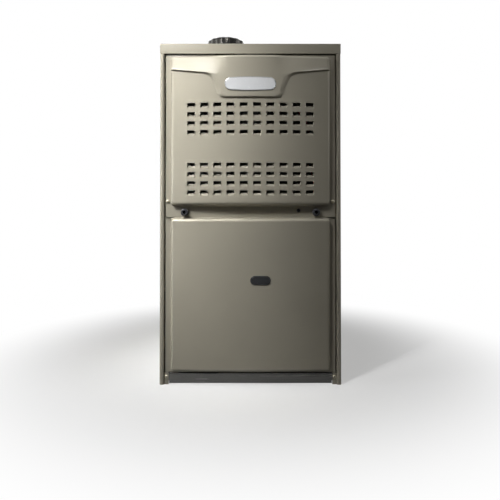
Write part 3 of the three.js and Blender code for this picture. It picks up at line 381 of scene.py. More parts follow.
def motor_finish(f, base):
    """Thick sprayed motor enamel."""
    peel = f.noise(260.0)
    dust = f.mask(f.noise(30.0, 4.0), 0.55, 0.8)
    f.surface(base_color=f.shades(dust * 0.3, base, 1.0, 3.0), roughness=f.between(peel, 0.34, 0.5),
              coat_weight=0.2, normal=f.bump(peel, 0.0002, 0.6))


def iron_finish(f, base):
    """Black iron pipe with mill scale and a rusty bloom at its edges."""
    scale = f.noise(130.0, 5.0, 0.65)
    rust = f.mask(f.noise(26.0, 4.0), 0.62, 0.8)
    f.surface(base_color=f.mix(rust * 0.35, f.shades(scale, base, 0.7, 1.8), (0.12, 0.045, 0.02)),
              metallic=0.6, roughness=f.between(scale, 0.42, 0.7), normal=f.bump(scale, 0.0002, 0.6))


def cast_finish(f, base):
    """Sand-cast aluminium."""
    sand = f.noise(380.0, 4.0, 0.7)
    f.surface(base_color=f.shades(f.noise(30.0, 3.0), base, 0.8, 1.05), metallic=0.85,
              roughness=f.between(sand, 0.42, 0.62), normal=f.bump(sand, 0.0003, 0.7))


def ceramic_finish(f, base):
    """Unglazed steatite with a little soot."""
    pores = f.noise(500.0, 4.0, 0.7)
    soot = f.mask(f.noise(70.0, 3.0), 0.6, 0.85)
    f.surface(base_color=f.shades(soot * 0.4, base, 1.0, 0.45), roughness=f.between(pores, 0.6, 0.8),
              normal=f.bump(pores, 0.00015, 0.5))


def board_finish(f, base):
    """Green solder resist over copper tracks, with tinned pads."""
    tracks = f.bricks(0.5, 180.0, 0.12, 1.7, 0.8)
    pads = 1.0 - f.mask(f.cells(190.0), 0.1, 0.16)
    green = f.mix(tracks * 0.7, base, (base[0] * 2.4, base[1] * 1.9, base[2] * 1.7))
    f.surface(base_color=f.mix(pads, green, (0.62, 0.6, 0.54)), metallic=pads * 0.8,
              roughness=f.between(pads, 0.32, 0.4), coat_weight=0.3,
              normal=f.bump(tracks + pads, 0.00008, 0.6))


FINISHES = {
    "cabinet_paint": paint_finish,
    "galvanised_steel": zinc_finish,
    "aluminised_steel": aluminised_finish,
    "foil_liner": foil_finish,
    "badge_enamel": enamel_finish,
    "black_rubber": rubber_finish,
    "sight_glass": window_finish,
    "glass_fibre": fibre_finish,
    "slate_plastic": plastic_finish,
    "zinc_screw": bright_finish,
    "black_screw": motor_finish,
    "flue_steel": dark_steel_finish,
    "motor_enamel": motor_finish,
    "white_plastic": plastic_finish,
    "silicone_hose": rubber_finish,
    "black_iron": iron_finish,
    "cast_aluminium": cast_finish,
    "red_plastic": plastic_finish,
    "ceramic": ceramic_finish,
    "black_plastic": plastic_finish,
    "bright_steel": bright_finish,
    "circuit_board": board_finish,
    "cable_sheath": rubber_finish,
}
EXTRA_FINISHES = {
    "rolled_rail": (rolled_finish, (0.42, 0.415, 0.40)),
    "satin_trim": (satin_trim_finish, (0.62, 0.63, 0.65)),
    "shadow_black": (painted_shade_finish, (0.003, 0.003, 0.003)),
    "brass": (bright_finish, (0.62, 0.46, 0.2)),
    "relay_blue": (plastic_finish, (0.03, 0.09, 0.3)),
    "lamp_amber": (plastic_finish, (0.75, 0.28, 0.03)),
}
CHOSEN = {"cabinet_paint": "paint", "galvanised_steel": "zinc", "badge_enamel": "badge",
          "flue_steel": "flue", "slate_plastic": "slate"}


def material(name):
    """A finish by its slot's name, made once. The frame's own plain materials bear the bare slot names."""
    made = bpy.data.materials.get("finish_" + name)
    if made:
        return made
    made = bpy.data.materials.new("finish_" + name)
    made.use_nodes = True
    if name in EXTRA_FINISHES:
        build, base = EXTRA_FINISHES[name]
    else:
        build, base = FINISHES[name], COLOUR_OF[name]
        if name in CHOSEN:
            base = tuple(getattr(bpy.context.scene.furnace_colours, CHOSEN[name]))
    build(Finish(made.node_tree), tuple(base))
    return made


# ---------------------------------------------------------------- pieces from bmesh


AXES = {"X": Vector((1, 0, 0)), "Y": Vector((0, 1, 0)), "Z": Vector((0, 0, 1))}
SHARP = math.radians(30.0)  # edges that turn more than this are rounded
FLAT = math.radians(1.0)  # faces that turn less than this are joined


def finish_piece(name, shape, node, finish=None, replaces=(), smooth=32.0):
    """Makes a bmesh drawn in millimetres a piece that rides with a CAD node and takes its slot."""
    bmesh.ops.transform(shape, matrix=Matrix.Scale(MM, 4), verts=shape.verts)
    mesh = bpy.data.meshes.new(name)
    shape.to_mesh(mesh)
    shape.free()
    for polygon in mesh.polygons:
        polygon.use_smooth = True
    mesh.set_sharp_from_angle(angle=math.radians(smooth))
    mesh.materials.append(material(finish or SLOT_OF[node]))
    piece = bpy.data.objects.new(name, mesh)
    bpy.context.scene.collection.objects.link(piece)
    piece.modifiers.new("level_faces", "WEIGHTED_NORMAL").keep_sharp = True
    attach(piece, BODY_OF[node])
    if replaces:
        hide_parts(*replaces)


def stand_in(name, shape, node, smooth=32.0, finish=None):
    """Makes a bmesh the piece that shows in place of its CAD node."""
    finish_piece(name, shape, node, finish, (node,), smooth)


def turn_out(shape):
    """Merges doubles and turns every face outward."""
    bmesh.ops.remove_doubles(shape, verts=shape.verts, dist=1e-4)
    bmesh.ops.recalc_face_normals(shape, faces=shape.faces)
    return shape


def round_edges(shape, width, segments, edges):
    bmesh.ops.bevel(shape, geom=edges, offset=width, offset_type="OFFSET", segments=segments, profile=0.5,
                    affect="EDGES", clamp_overlap=True, material=-1)


def add_block(shape, low, high, edge, segments=2):
    """Adds a box with rounded edges."""
    low, high = Vector(low), Vector(high)
    place = Matrix.Translation((low + high) / 2) @ Matrix.Diagonal((*(high - low), 1.0))
    made = bmesh.ops.create_cube(shape, size=1.0, matrix=place)
    round_edges(shape, edge, segments, list({e for v in made["verts"] for e in v.link_edges}))


def frame_along(axis, through):
    """Takes a shape drawn round +Z to one round an axis through a point."""
    turn = Vector((0, 0, 1)).rotation_difference(AXES[axis]).to_matrix().to_4x4()
    return Matrix.Translation(Vector(through)) @ turn


def axis_frame(axis, through):
    """Like frame_along, with places along the axis measured from the origin, not from the point."""
    point = Vector(through)
    point["XYZ".index(axis)] = 0.0
    return frame_along(axis, point)


def add_turned(shape, profile, axis, through, steps=48, ripple=None):
    """Spins a profile of (radius, place along the axis) points round an axis through a point."""
    drawn = bmesh.new()
    verts = [drawn.verts.new((radius, 0.0, along)) for radius, along in profile]
    for first, second in zip(verts, verts[1:]):
        drawn.edges.new((first, second))
    bmesh.ops.spin(drawn, geom=drawn.verts[:] + drawn.edges[:], cent=(0, 0, 0), axis=(0, 0, 1),
                   angle=2 * math.pi, steps=steps, use_merge=True)
    turn_out(drawn)
    if ripple:
        for v in drawn.verts:
            ripple(v)
    bmesh.ops.transform(drawn, matrix=axis_frame(axis, through), verts=drawn.verts)
    append(shape, drawn)


def append(shape, drawn):
    """Moves a finished bmesh into another."""
    mesh = bpy.data.meshes.new("part")
    drawn.to_mesh(mesh)
    drawn.free()
    shape.from_mesh(mesh)
    bpy.data.meshes.remove(mesh)


def mirrored(half, middle=0.0):
    """A closed profile from its half up to a place along the axis."""
    return half + [(radius, 2 * middle - along) for radius, along in reversed(half)] + half[:1]


def rounded_copy(node, width, segments=2):
    """A CAD node's own shape with its loose triangles merged into faces and its edges rounded."""
    shape = bmesh.new()
    shape.from_mesh(frame["nodes"][node].data)
    bmesh.ops.transform(shape, matrix=Matrix.Scale(1 / MM, 4), verts=shape.verts)
    bmesh.ops.remove_doubles(shape, verts=shape.verts, dist=0.01)
    bmesh.ops.dissolve_limit(shape, angle_limit=FLAT, verts=shape.verts, edges=shape.edges,
                             use_dissolve_boundaries=False)
    sharp = [e for e in shape.edges if e.is_manifold and e.calc_face_angle(0.0) > SHARP]
    round_edges(shape, width, segments, sharp)
    return shape


def dress(node, suffix, width, segments=2, smooth=32.0, finish=None):
    """Replaces a CAD node by its own shape with rounded edges."""
    stand_in(f"{node}_{suffix}", rounded_copy(node, width, segments), node, smooth, finish)


def clamp(value, low=0.0, high=1.0):
    return max(low, min(high, value))


def ease(share):
    share = clamp(share)
    return share * share * (3 - 2 * share)


# ---------------------------------------------------------------- pressed access panels


UPPER_FACE = (437.0, 803.8)  # the raised faces' lowest and highest lines
LOWER_FACE = (34.4, 407.2)
RIM_EDGE = 209.0  # half the width of a panel
RIM_FOLD = 1.5  # radius of the curl at a panel's outer edge
FOOT = 1.5  # radius of the fold at a raised face's foot
LEAN = 1.2  # how far the walls round a raised face lean in
RINGS = 8  # lines up a drawn wall
GRID_SIDE = 186.0  # how far out the even part of a panel's grid reaches
SHELF_LINE, SIDE_LINE, CREASE_FROM = 762.0, 84.5, 689.0  # grid lines that are drawn onto the brow's creases
BROW_LINE = {"inner": 756.0, "outer": 768.0, "shoulder": 96.7, "foot": 72.3, "low": 698.2, "knee": 750.0}
FALL_FROM, FALL_OVER = 54.0, 43.0  # where the brow's wings begin to lean back, and over how much
LOUVRE = {"pitch": 32.0, "columns": 10, "row": 22.2, "rows": 4, "tops": (687.0, 541.0), "half": 9.4,
          "height": 12.4, "rise": 5.8, "bead": 0.5}
WINDOW = {"x": 24.3, "z": 256.8, "half_length": 24.7, "half_height": 11.2}


class Pressing:
    """The surface of one pressed panel, from its rim to its raised face."""

    def __init__(self, low, high, face, sizes, brow=False):
        self.low, self.high = low, high
        self.face_low, self.face_high = face
        self.half = sizes.half_width / MM
        self.rise, self.crown = sizes.rise / MM, sizes.crown / MM
        self.corner, self.shoulder = sizes.corner / MM, sizes.shoulder / MM
        self.brow = sizes.brow / MM if brow else 0.0
        self.fall = sizes.brow_fall / MM
        line = BROW_LINE
        self.slope = (line["outer"] - line["inner"]) / (self.half - line["shoulder"])
        self.lean = (line["shoulder"] - line["foot"]) / (line["knee"] - line["low"])

    def inset(self, ring, height=0.0):
        """How far in from the raised face's outline a ring lies, and its height."""
        if ring < 3:
            turn = math.radians(45 * ring)
            return FOOT * (math.sin(turn) - 1), FOOT * (1 - math.cos(turn))
        turn = math.radians(22.5 * (ring - 3))
        return LEAN + self.shoulder * (1 - math.cos(turn)), height - self.shoulder * (1 - math.sin(turn))

    def brow_share(self, x, z):
        """How far inside the brow's outline a point is, and how wide the slope to its top is there."""
        line, out = BROW_LINE, abs(x)
        wing = z - (line["inner"] + self.slope * (out - line["shoulder"]))
        foot = z - line["low"]
        side = (line["foot"] + self.lean * foot - out) * math.cos(math.atan(self.lean))
        stem = soft_min(side, foot, 9.0)
        width = 3.0 + 6.0 * ease((764.0 - z) / 14.0) * ease((z - 704.0) / 14.0)
        return -soft_min(-wing, -stem, 14.0), width

    def lift(self, x, z):
        """Height of the face over the panel's rim."""
        height = self.rise + self.crown * (1 - (x / self.half) ** 2)
        if self.brow:
            inside, width = self.brow_share(x, z)
            height += self.brow * (1 - (1 - clamp(inside / width)) ** 2)
            fall = self.fall * ease((abs(x) - FALL_FROM) / FALL_OVER)
            climb = clamp((z - BROW_LINE["inner"]) / (self.face_high - BROW_LINE["inner"]))
            height -= fall * climb * ease(inside / 6.0)
        return height

    def front(self, x, z):
        """Where the face lies at a point, along Y."""
        return RIM_FACE - self.lift(x, z)

    def on_crease(self, x, z):
        """Draws a grid point towards the brow's creases, so that each crease is a clean fold."""
        if not self.brow or z < CREASE_FROM:
            return x, z
        line, out = BROW_LINE, abs(x)
        crease = line["inner"] + self.slope * max(0.0, out - line["shoulder"])
        near = ease((z - 722) / 40) * ease((self.face_high - 12 - z) / 34)
        moved = z + (crease - SHELF_LINE) * near
        side = line["foot"] + self.lean * (clamp(moved, line["low"], line["knee"]) - line["low"])
        near = ease((z - CREASE_FROM) / 9) * ease((795 - z) / 35) * clamp(1 - abs(out - SIDE_LINE) / 30)
        return x + math.copysign((side - SIDE_LINE) * near, x), moved

    def lines(self, middle, low, high, curled=True):
        """Line places across a panel: rim folds, the rings of both walls, and the lines between."""
        insets = [self.inset(ring)[0] for ring in range(RINGS)]
        folds = (0.0, 0.25, 0.7, RIM_FOLD)
        start = [low + fold for fold in folds]
        end = [high - fold for fold in folds] if curled else [high]
        lower = [middle[0] + inset for inset in insets]
        upper = [middle[-1] - inset for inset in insets]
        return start, lower, list(middle[1:-1]), upper[::-1], end[::-1]


def upper_press(context):
    return Pressing(UPPER_LOW.z, UPPER_HIGH.z, UPPER_FACE, context.scene.furnace_panels, brow=True)


def lower_press(context):
    return Pressing(LOWER_LOW.z, LOWER_HIGH.z, LOWER_FACE, context.scene.furnace_panels)


def soft_min(first, second, reach):
    """The smaller of two numbers, rounded where they are near each other."""
    share = max(reach - abs(first - second), 0.0) / reach
    return min(first, second) - share * share * reach / 4


def fill_in(places, step):
    """Sorted places with more between them where they are far apart."""
    filled = []
    for first, second in zip(places, places[1:]):
        count = max(1, math.ceil((second - first) / step))
        filled += [first + (second - first) * n / count for n in range(count)]
    return filled + [places[-1]]


def merged(places, gap):
    """Sorted places, dropping any that is too near the one before."""
    kept = []
    for place in sorted(places):
        if not kept or place - kept[-1] > gap:
            kept.append(place)
    return kept


def louvre_columns():
    return [(n - (LOUVRE["columns"] - 1) / 2) * LOUVRE["pitch"] for n in range(LOUVRE["columns"])]


def louvre_tops():
    return [top - row * LOUVRE["row"] for top in LOUVRE["tops"] for row in range(LOUVRE["rows"])]


def press_panel(press, xs_inside, zs_inside, curled_top=True):
    """A pressed panel as a grid whose lines follow its folds, before it has any thickness."""
    left, *x_parts, right = press.lines([-press.half, *xs_inside, press.half], -RIM_EDGE, RIM_EDGE)
    foot, *z_parts, head = press.lines([press.face_low, *zs_inside, press.face_high], press.low, press.high,
                                       curled_top)
    xs = left + sum(x_parts, []) + right
    zs = foot + sum(z_parts, []) + head
    shape = bmesh.new()
    bmesh.ops.create_grid(shape, x_segments=len(xs) - 1, y_segments=len(zs) - 1, size=0.5)
    last_x, last_z = len(xs) - 1 - len(right), len(zs) - 1 - len(head)
    inner = press.half - press.inset(RINGS - 1)[0]
    for v in shape.verts:
        i = round((v.co.x + 0.5) * (len(xs) - 1))
        j = round((v.co.y + 0.5) * (len(zs) - 1))
        ring = min(i - len(left), last_x - i, j - len(foot), last_z - j)
        x, z = press.on_crease(xs[i], zs[j]) if ring >= 0 else (xs[i], zs[j])
        if ring < 0:
            rise = 0.0
        elif ring < RINGS:
            at_z = clamp(z, press.face_low + 6.0, press.face_high - 6.0)
            rise = press.inset(ring, press.lift(clamp(x, -inner, inner), at_z))[1]
        else:
            rise = press.lift(x, z)
        x, z = round_corner(press, x, z)
        y = RIM_FACE - rise
        if ring < 0:
            y += rim_fold(press, x, z, curled_top)
        v.co = (x, y, z)
    return shape


def round_corner(press, x, z):
    """Draws the lines near a corner of the raised face into arcs."""
    middle = (press.face_low + press.face_high) / 2
    reach_x = press.half - press.corner
    reach_z = (press.face_high - press.face_low) / 2 - press.corner
    s, t = abs(x) - reach_x, abs(z - middle) - reach_z
    if s <= 0 or t <= 0:
        return x, z
    far = max(s, t)
    factor = far / math.hypot(s, t)
    if far > press.corner:
        factor += (1 - factor) * clamp((far - press.corner) / 3.0)
    return math.copysign(reach_x + s * factor, x), middle + math.copysign(reach_z + t * factor, z - middle)


def rim_fold(press, x, z, curled_top):
    """How far back the rim curls at the panel's outer edge."""
    near = min([RIM_EDGE - abs(x), z - press.low] + ([press.high - z] if curled_top else []))
    if near >= RIM_FOLD:
        return 0.0
    return RIM_FOLD - math.sqrt(max(0.0, RIM_FOLD ** 2 - (RIM_FOLD - near) ** 2))


def fold_back(shape, press):
    """Folds the panel's outer edge straight back."""
    outer = [e for e in shape.edges if e.is_boundary and all(on_outline(press, v) for v in e.verts)]
    made = bmesh.ops.extrude_edge_only(shape, edges=outer)
    for v in (g for g in made["geom"] if isinstance(g, bmesh.types.BMVert)):
        v.co.y = DOOR_BACK


def on_outline(press, v):
    return min(abs(abs(v.co.x) - RIM_EDGE), abs(v.co.z - press.low), abs(v.co.z - press.high)) < 0.01


def thicken(shape, thickness):
    """Gives a sheet its thickness, behind the face that shows."""
    bmesh.ops.recalc_face_normals(shape, faces=shape.faces)
    front = max(shape.faces, key=lambda face: face.calc_area())
    if front.normal.y > 0:
        bmesh.ops.reverse_faces(shape, faces=shape.faces)
    bmesh.ops.solidify(shape, geom=shape.faces[:], thickness=thickness)


def press_louvres(shape, depth):
    """Presses a tongue in at each louvre and opens the slot over it."""
    columns, tops = louvre_columns(), louvre_tops()
    half, height, rise = LOUVRE["half"], LOUVRE["height"], LOUVRE["rise"]

    def nearest(at):
        """How far a point is from the middle of its nearest louvre, and how far up that louvre."""
        top = min(tops, key=lambda t: abs(at.z - (t - height / 2)))
        return min(abs(at.x - column) for column in columns), at.z - (top - height)

    for v in shape.verts:
        out, climb = nearest(v.co)
        if -1.0 < climb < height + 1.0:
            bead = LOUVRE["bead"] * clamp(1 - abs(out - half - 0.8) / 0.8) * ease((climb + 1) / 3)
            pressed = out < half - 0.35 and climb <= height - 0.2
            v.co.y += (clamp(climb / rise) * depth if pressed else 0.0) - bead
    doomed = []
    for face in shape.faces:
        out, climb = nearest(face.calc_center_median())
        if out <= half and rise < climb < height:
            doomed.append(face)
    bmesh.ops.delete(shape, geom=doomed, context="FACES")


class FURNACE_OT_upper_panel(bpy.types.Operator):
    """Builds the louvred upper access panel with its brow"""

    bl_idname = "furnace.upper_panel"
    bl_label = "Upper Access Panel"

    def execute(self, context):
        sizes, press = context.scene.furnace_panels, upper_press(context)
        half, height, rise = LOUVRE["half"], LOUVRE["height"], LOUVRE["rise"]
        steps = (0.0, 4.6, half - 0.8, half, half + 0.8, half + 1.6)
        xs = [c + sign * step for c in louvre_columns() for step in steps for sign in (-1, 1)]
        xs += [sign * x for x in (82.0, SIDE_LINE, 86.4) for sign in (-1, 1)]
        xs = [x for x in merged(xs, 0.45) if abs(x) < GRID_SIDE]
        xs = fill_in([-GRID_SIDE, *xs, GRID_SIDE], 6.0)
        rows = (-1.4, 0.0, 1.2, 2.8, 4.6, 6.4, rise, height, height + 1.2)
        zs = [top - height + row for top in louvre_tops() for row in rows]
        zs += [line + step for line in (BROW_LINE["low"], SHELF_LINE)
               for step in (-0.8, 0.0, 0.8, 1.6, 2.4, 3.4, 4.6)]
        zs = merged([z for z in zs if 448 < z < 796], 0.3)
        low = fill_in([448.0, *[z for z in zs if z < 690]], 9.0)
        high = fill_in([z for z in zs if z >= 690] + [796.0], 1.9)
        shape = press_panel(press, xs, low + high)
        press_louvres(shape, sizes.louvre_depth / MM)
        fold_back(shape, press)
        thicken(shape, sizes.sheet / MM)
        stand_in("upper_panel_pressing", shape, "upper_access_panel", 38.0)
        return {"FINISHED"}


class FURNACE_OT_lower_panel(bpy.types.Operator):
    """Builds the plain lower access panel with the opening for its window"""

    bl_idname = "furnace.lower_panel"
    bl_label = "Lower Access Panel"

    def execute(self, context):
        press = lower_press(context)
        fine_x = [WINDOW["x"] + step * 1.3 for step in range(-19, 20)]
        fine_z = [WINDOW["z"] + step * 1.3 for step in range(-9, 10)]
        xs = fill_in([-GRID_SIDE, *fine_x, GRID_SIDE], 6.0)
        zs = fill_in([43.5, *fine_z, 398.0], 9.0)
        shape = press_panel(press, xs, zs, curled_top=False)
        reach = WINDOW["half_length"] - WINDOW["half_height"]
        opening = []
        for face in shape.faces:
            middle = face.calc_center_median()
            out = max(0.0, abs(middle.x - WINDOW["x"]) - reach)
            if math.hypot(out, middle.z - WINDOW["z"]) < WINDOW["half_height"] - 2.6:
                opening.append(face)
        bmesh.ops.delete(shape, geom=opening, context="FACES")
        fold_back(shape, press)
        thicken(shape, context.scene.furnace_panels.sheet / MM)
        add_striker(shape, press)
        stand_in("lower_panel_pressing", shape, "lower_access_panel", 38.0)
        return {"FINISHED"}


def add_striker(shape, press):
    """Adds the hollow block on the panel's back that presses the door switch's plunger."""
    low, high = span("door_switch_button")
    x, z, size = (low.x + high.x) / 2, (low.z + high.z) / 2, 8.0
    near = press.front(x, z) + 1.3
    add_block(shape, (x - size, near, z - size), (x + size, low.y - 0.5, z + size), 0.6)


# ---------------------------------------------------------------- trim on the panels


def pill_points(half_length, half_height, bow, count=24):
    """Points round a pill with bowed long sides, as (x, z)."""
    reach = half_length - half_height
    points = []
    for sign in (1, -1):
        for n in range(count):
            turn = math.radians(-90 + 180 * n / count)
            across, up = half_height * math.cos(turn), half_height * math.sin(turn)
            points.append((sign * (reach + across), sign * up))
        points += [(sign * (reach - 2 * reach * n / count), sign * half_height) for n in range(count)]
    return [(x, z + math.copysign(bow * max(0.0, 1 - (x / reach) ** 2), z)) for x, z in points]


def pill_piece(name, node, press, centre, half, rings, bow=0.0, closed=False, finish=None):
    """Makes a pill-shaped skin on a panel from rings of (inset, height off the panel's face)."""
    shape, made, (middle_x, middle_z) = bmesh.new(), [], centre
    for inset, off in rings:
        points = pill_points(half[0] - inset, half[1] - inset, bow)
        made.append([shape.verts.new((middle_x + x, press.front(middle_x + x, middle_z) - off, middle_z + z))
                     for x, z in points])
    for first, second in zip(made, made[1:]):
        edges = []
        for ring in (first, second):
            for a, b in zip(ring, ring[1:] + ring[:1]):
                edges.append(shape.edges.get((a, b)) or shape.edges.new((a, b)))
        bmesh.ops.bridge_loops(shape, edges=edges)
    if closed:
        edges = [shape.edges.get((a, b)) for a, b in zip(made[-1], made[-1][1:] + made[-1][:1])]
        bmesh.ops.contextual_create(shape, geom=[e for e in edges if e])
    finish_piece(name, turn_out(shape), node, finish, () if finish else (node,))


class FURNACE_OT_badge(bpy.types.Operator):
    """Builds the blank badge plate and its silver rim"""

    bl_idname = "furnace.badge"
    bl_label = "Badge Plate"

    def execute(self, context):
        press = upper_press(context)
        low, high = span("badge_plate")
        half = ((high.x - low.x) / 2, (high.z - low.z) / 2 - 1.6)
        centre = (0, (low.z + high.z) / 2)
        rim = [(0, 0.1), (0, 0.9), (0.3, 1.3), (1.0, 1.5), (1.6, 1.3), (1.8, 0.9)]
        face = [(1.7, 0.5), (1.9, 1.0), (2.4, 1.25)]
        face += [(2.4 + (half[1] - 2.6) * n / 8, 1.3) for n in range(1, 9)]
        pill_piece("badge_rim", "badge_plate", press, centre, half, rim, 1.6, finish="satin_trim")
        pill_piece("badge_face", "badge_plate", press, centre, half, face, 1.6, closed=True)
        return {"FINISHED"}


class FURNACE_OT_window(bpy.types.Operator):
    """Builds the dark pill-shaped window with its gasket"""

    bl_idname = "furnace.window"
    bl_label = "Sight Window"

    def execute(self, context):
        press = lower_press(context)
        half = (WINDOW["half_length"], WINDOW["half_height"])
        centre = (WINDOW["x"], WINDOW["z"])
        ring = [(2.8, -4.4), (2.8, -1.6), (0.3, -0.2), (0, 0.4), (0, 1.2), (0.5, 1.9), (1.4, 2.2),
                (2.4, 2.0), (2.9, 1.4), (3.0, -4.4)]
        pane = [(2.95, -1.2), (2.95, 1.1), (3.45, 1.7), (4.25, 2.0)]
        pane += [(4.25 + (half[1] - 4.45) * n / 6, 2.0 + 0.3 * n / 6) for n in range(1, 7)]
        pill_piece("sight_gasket_ring", "sight_glass_gasket", press, centre, half, ring)
        pill_piece("sight_pane", "sight_glass", press, centre, half, pane, closed=True)
        return {"FINISHED"}


class FURNACE_OT_latches(bpy.types.Operator):
    """Builds the two slate knobs with their central holes, and their cross bars"""

    bl_idname = "furnace.latches"
    bl_label = "Latches"

    def execute(self, context):
        for side in ("left", "right"):
            node = f"latch_knob_{side}"
            low, high = span(node)
            radius, tip, seat, end = (high.x - low.x) / 2, low.y, HEAD_SEAT, high.y
            middle = (low + high) / 2
            profile = [
                (0, tip + 9), (3.8, tip + 9), (4.1, tip + 8.6), (4.1, tip + 0.9), (4.4, tip + 0.3),
                (5.0, tip), (6.6, tip), (8.0, tip + 0.35), (8.9, tip + 1.2), (radius, tip + 2.6),
                (radius, seat - 1.2), (radius - 0.3, seat - 0.4), (radius - 0.9, seat), (3.5, seat),
                (3.4, end - 6.0), (2.5, end - 5.6), (2.5, end - 0.5), (2.0, end), (0, end),
            ]
            painted_shade_disc, knob = bmesh.new(), bmesh.new()
            # A near-black disc at the bottom of each knob's hole is painted shade, so the hole reads dark.
            add_turned(painted_shade_disc, [(0, tip + 5), (4.05, tip + 5), (4.05, tip + 8), (0, tip + 8)], "Y", middle, 32)
            finish_piece(f"knob_{side}_bore", painted_shade_disc, node, "shadow_black")
            add_turned(knob, profile, "Y", middle, 64, lambda v: flute(v, radius, tip))
            stand_in(f"knob_{side}", knob, node)
            dress(f"latch_cam_{side}", "bar", 0.5, 3)
        return {"FINISHED"}


def draw_in(v, factor):
    """Draws a vertex towards the axis."""
    v.co.x, v.co.y = v.co.x * factor, v.co.y * factor


def flute(v, radius, tip):
    """Gives a knob's side shallow grip flutes."""
    if math.hypot(v.co.x, v.co.y) > radius - 0.5 and v.co.z > tip + 2:
        turn = math.atan2(v.co.y, v.co.x)
        draw_in(v, 1 - 0.035 * (0.5 + 0.5 * math.cos(16 * turn)) ** 2)


class FURNACE_OT_screws(bpy.types.Operator):
    """Builds the domed screws of the panels and the cabinet's foot"""

    bl_idname = "furnace.screws"
    bl_label = "Screws"

    def execute(self, context):
        for node in ("panel_screw_left", "panel_screw_right", "base_screw_left", "base_screw_right",
                     "panel_screw_black"):
            low, high = span(node)
            radius, tip, seat, middle = (high.x - low.x) / 2, low.y, HEAD_SEAT, (low + high) / 2
            turns = [math.radians(9 * n) for n in range(11)]
            dome = [(radius * math.sin(t), tip + (seat - 0.2 - tip) * (1 - math.cos(t))) for t in turns]
            shank = [(radius - 0.2, seat), (2.0, seat), (1.6, seat + 0.6), (2.0, seat + 1.4),
                     (1.6, seat + 2.2), (2.0, seat + 3.0), (1.6, high.y - 2), (0, high.y)]
            head, painted_cross_shade = bmesh.new(), bmesh.new()
            add_turned(head, dome + shank, "Y", middle, 32)
            stand_in(f"{node}_head", head, node, 40.0)
            # Two near-black blocks standing just proud of each dome are painted shade for its cross recess.
            for wide, tall, off in ((1.6, 0.4, 0.02), (0.4, 1.6, 0.03)):
                add_block(painted_cross_shade, (middle.x - wide, tip - off, middle.z - tall),
                          (middle.x + wide, tip + 0.6, middle.z + tall), 0.1)
            finish_piece(f"{node}_recess", painted_cross_shade, node, "shadow_black")
        return {"FINISHED"}


# ---------------------------------------------------------------- cabinet and flue


class FURNACE_OT_cabinet(bpy.types.Operator):
    """Rounds the folds of the casing, cap, rail, frame and deck"""

    bl_idname = "furnace.cabinet"
    bl_label = "Cabinet"

    def execute(self, context):
        dress("casing_wrapper", "sheet", 0.35, smooth=50)
        dress("top_cap", "sheet", 0.35, smooth=50)
        dress("supply_duct_frame", "sheet", 0.35)
        dress("base_rail", "strip", 0.3, smooth=50, finish="rolled_rail")
        dress("blower_deck", "sheet", 0.35, smooth=50)
        dress("vestibule_panel", "sheet", 0.35, smooth=50)
        return {"FINISHED"}


CRIMP = {"start": 862.0, "depth": 1.6, "flutes": 14}


class FURNACE_OT_flue(bpy.types.Operator):
    """Builds the flue pipe with its crimped end, and the ring round it"""

    bl_idname = "furnace.flue"
    bl_label = "Flue Pipe"

    def execute(self, context):
        low, high = span("flue_pipe")
        radius, top, foot, middle = (high.x - low.x) / 2, high.z, low.z, (low + high) / 2
        outside = [(radius - 0.8, z) for z in (foot + 0.5, foot + 30, 840.0, 846.0, 850.0)]
        outside += [(radius - 0.2, 851.5), (radius, 853.0), (radius - 0.2, 854.5), (radius - 0.8, 856.0)]
        outside += [(radius - 0.8, z) for z in (860.0, 866.0, 872.0, top - 0.4)]
        rim = [(radius - 1.0, top), (radius - 1.6, top), (radius - 1.9, top - 0.4)]
        inside = [(r - 1.1, z) for r, z in reversed(outside)]
        tube, ring = bmesh.new(), bmesh.new()
        add_turned(tube, outside + rim + inside + outside[:1], "Z", middle, 168, crimp)
        stand_in("flue_tube", tube, "flue_pipe", 40.0)
        low, high = span("flue_ring")
        inner, outer = radius + 0.6, (high.x - low.x) / 2
        profile = [(inner, low.z), (outer - 0.3, low.z), (outer, low.z + 0.3), (outer, high.z - 0.3),
                   (outer - 0.3, high.z), (inner + 0.4, high.z), (inner, high.z - 0.3), (inner, low.z)]
        add_turned(ring, profile, "Z", middle, 96)
        stand_in("flue_trim_ring", ring, "flue_ring")
        return {"FINISHED"}


def crimp(v):
    """Flutes the end of the flue pipe."""
    depth = CRIMP["depth"] * ease((v.co.z - CRIMP["start"]) / 6)
    if depth:
        wave = 0.5 - 0.5 * math.cos(CRIMP["flutes"] * math.atan2(v.co.y, v.co.x))
        draw_in(v, 1 - depth * wave / math.hypot(v.co.x, v.co.y))


# ---------------------------------------------------------------- the works inside


def add_ribbon(shape, points, thickness, low, high, place):
    """Adds a bent strip: an open line of (a, b) points made thick, and drawn out along Z."""
    sides = ([], [])
    for n, (a, b) in enumerate(points):
        before, after = points[max(n - 1, 0)], points[min(n + 1, len(points) - 1)]
        along = Vector((after[0] - before[0], after[1] - before[1])).normalized() * (thickness / 2)
        sides[0].append((a - along.y, b + along.x))
        sides[1].append((a + along.y, b - along.x))
    near, far, near_top, far_top = ([shape.verts.new((*point, z)) for point in side]
                                    for z in (low, high) for side in sides)
    for n in range(len(points) - 1):
        shape.faces.new((near[n], near[n + 1], near_top[n + 1], near_top[n]))
        shape.faces.new((far[n + 1], far[n], far_top[n], far_top[n + 1]))
        shape.faces.new((far[n], far[n + 1], near[n + 1], near[n]))
        shape.faces.new((near_top[n], near_top[n + 1], far_top[n + 1], far_top[n]))
    shape.faces.new((near[0], near_top[0], far_top[0], far[0]))
    shape.faces.new((far[-1], far_top[-1], near_top[-1], near[-1]))
    bmesh.ops.transform(shape, matrix=place, verts=near + far + near_top + far_top)


def direction(points, n):
    """The way a line runs at one of its points."""
    return (points[min(n + 1, len(points) - 1)] - points[max(n - 1, 0)]).normalized()


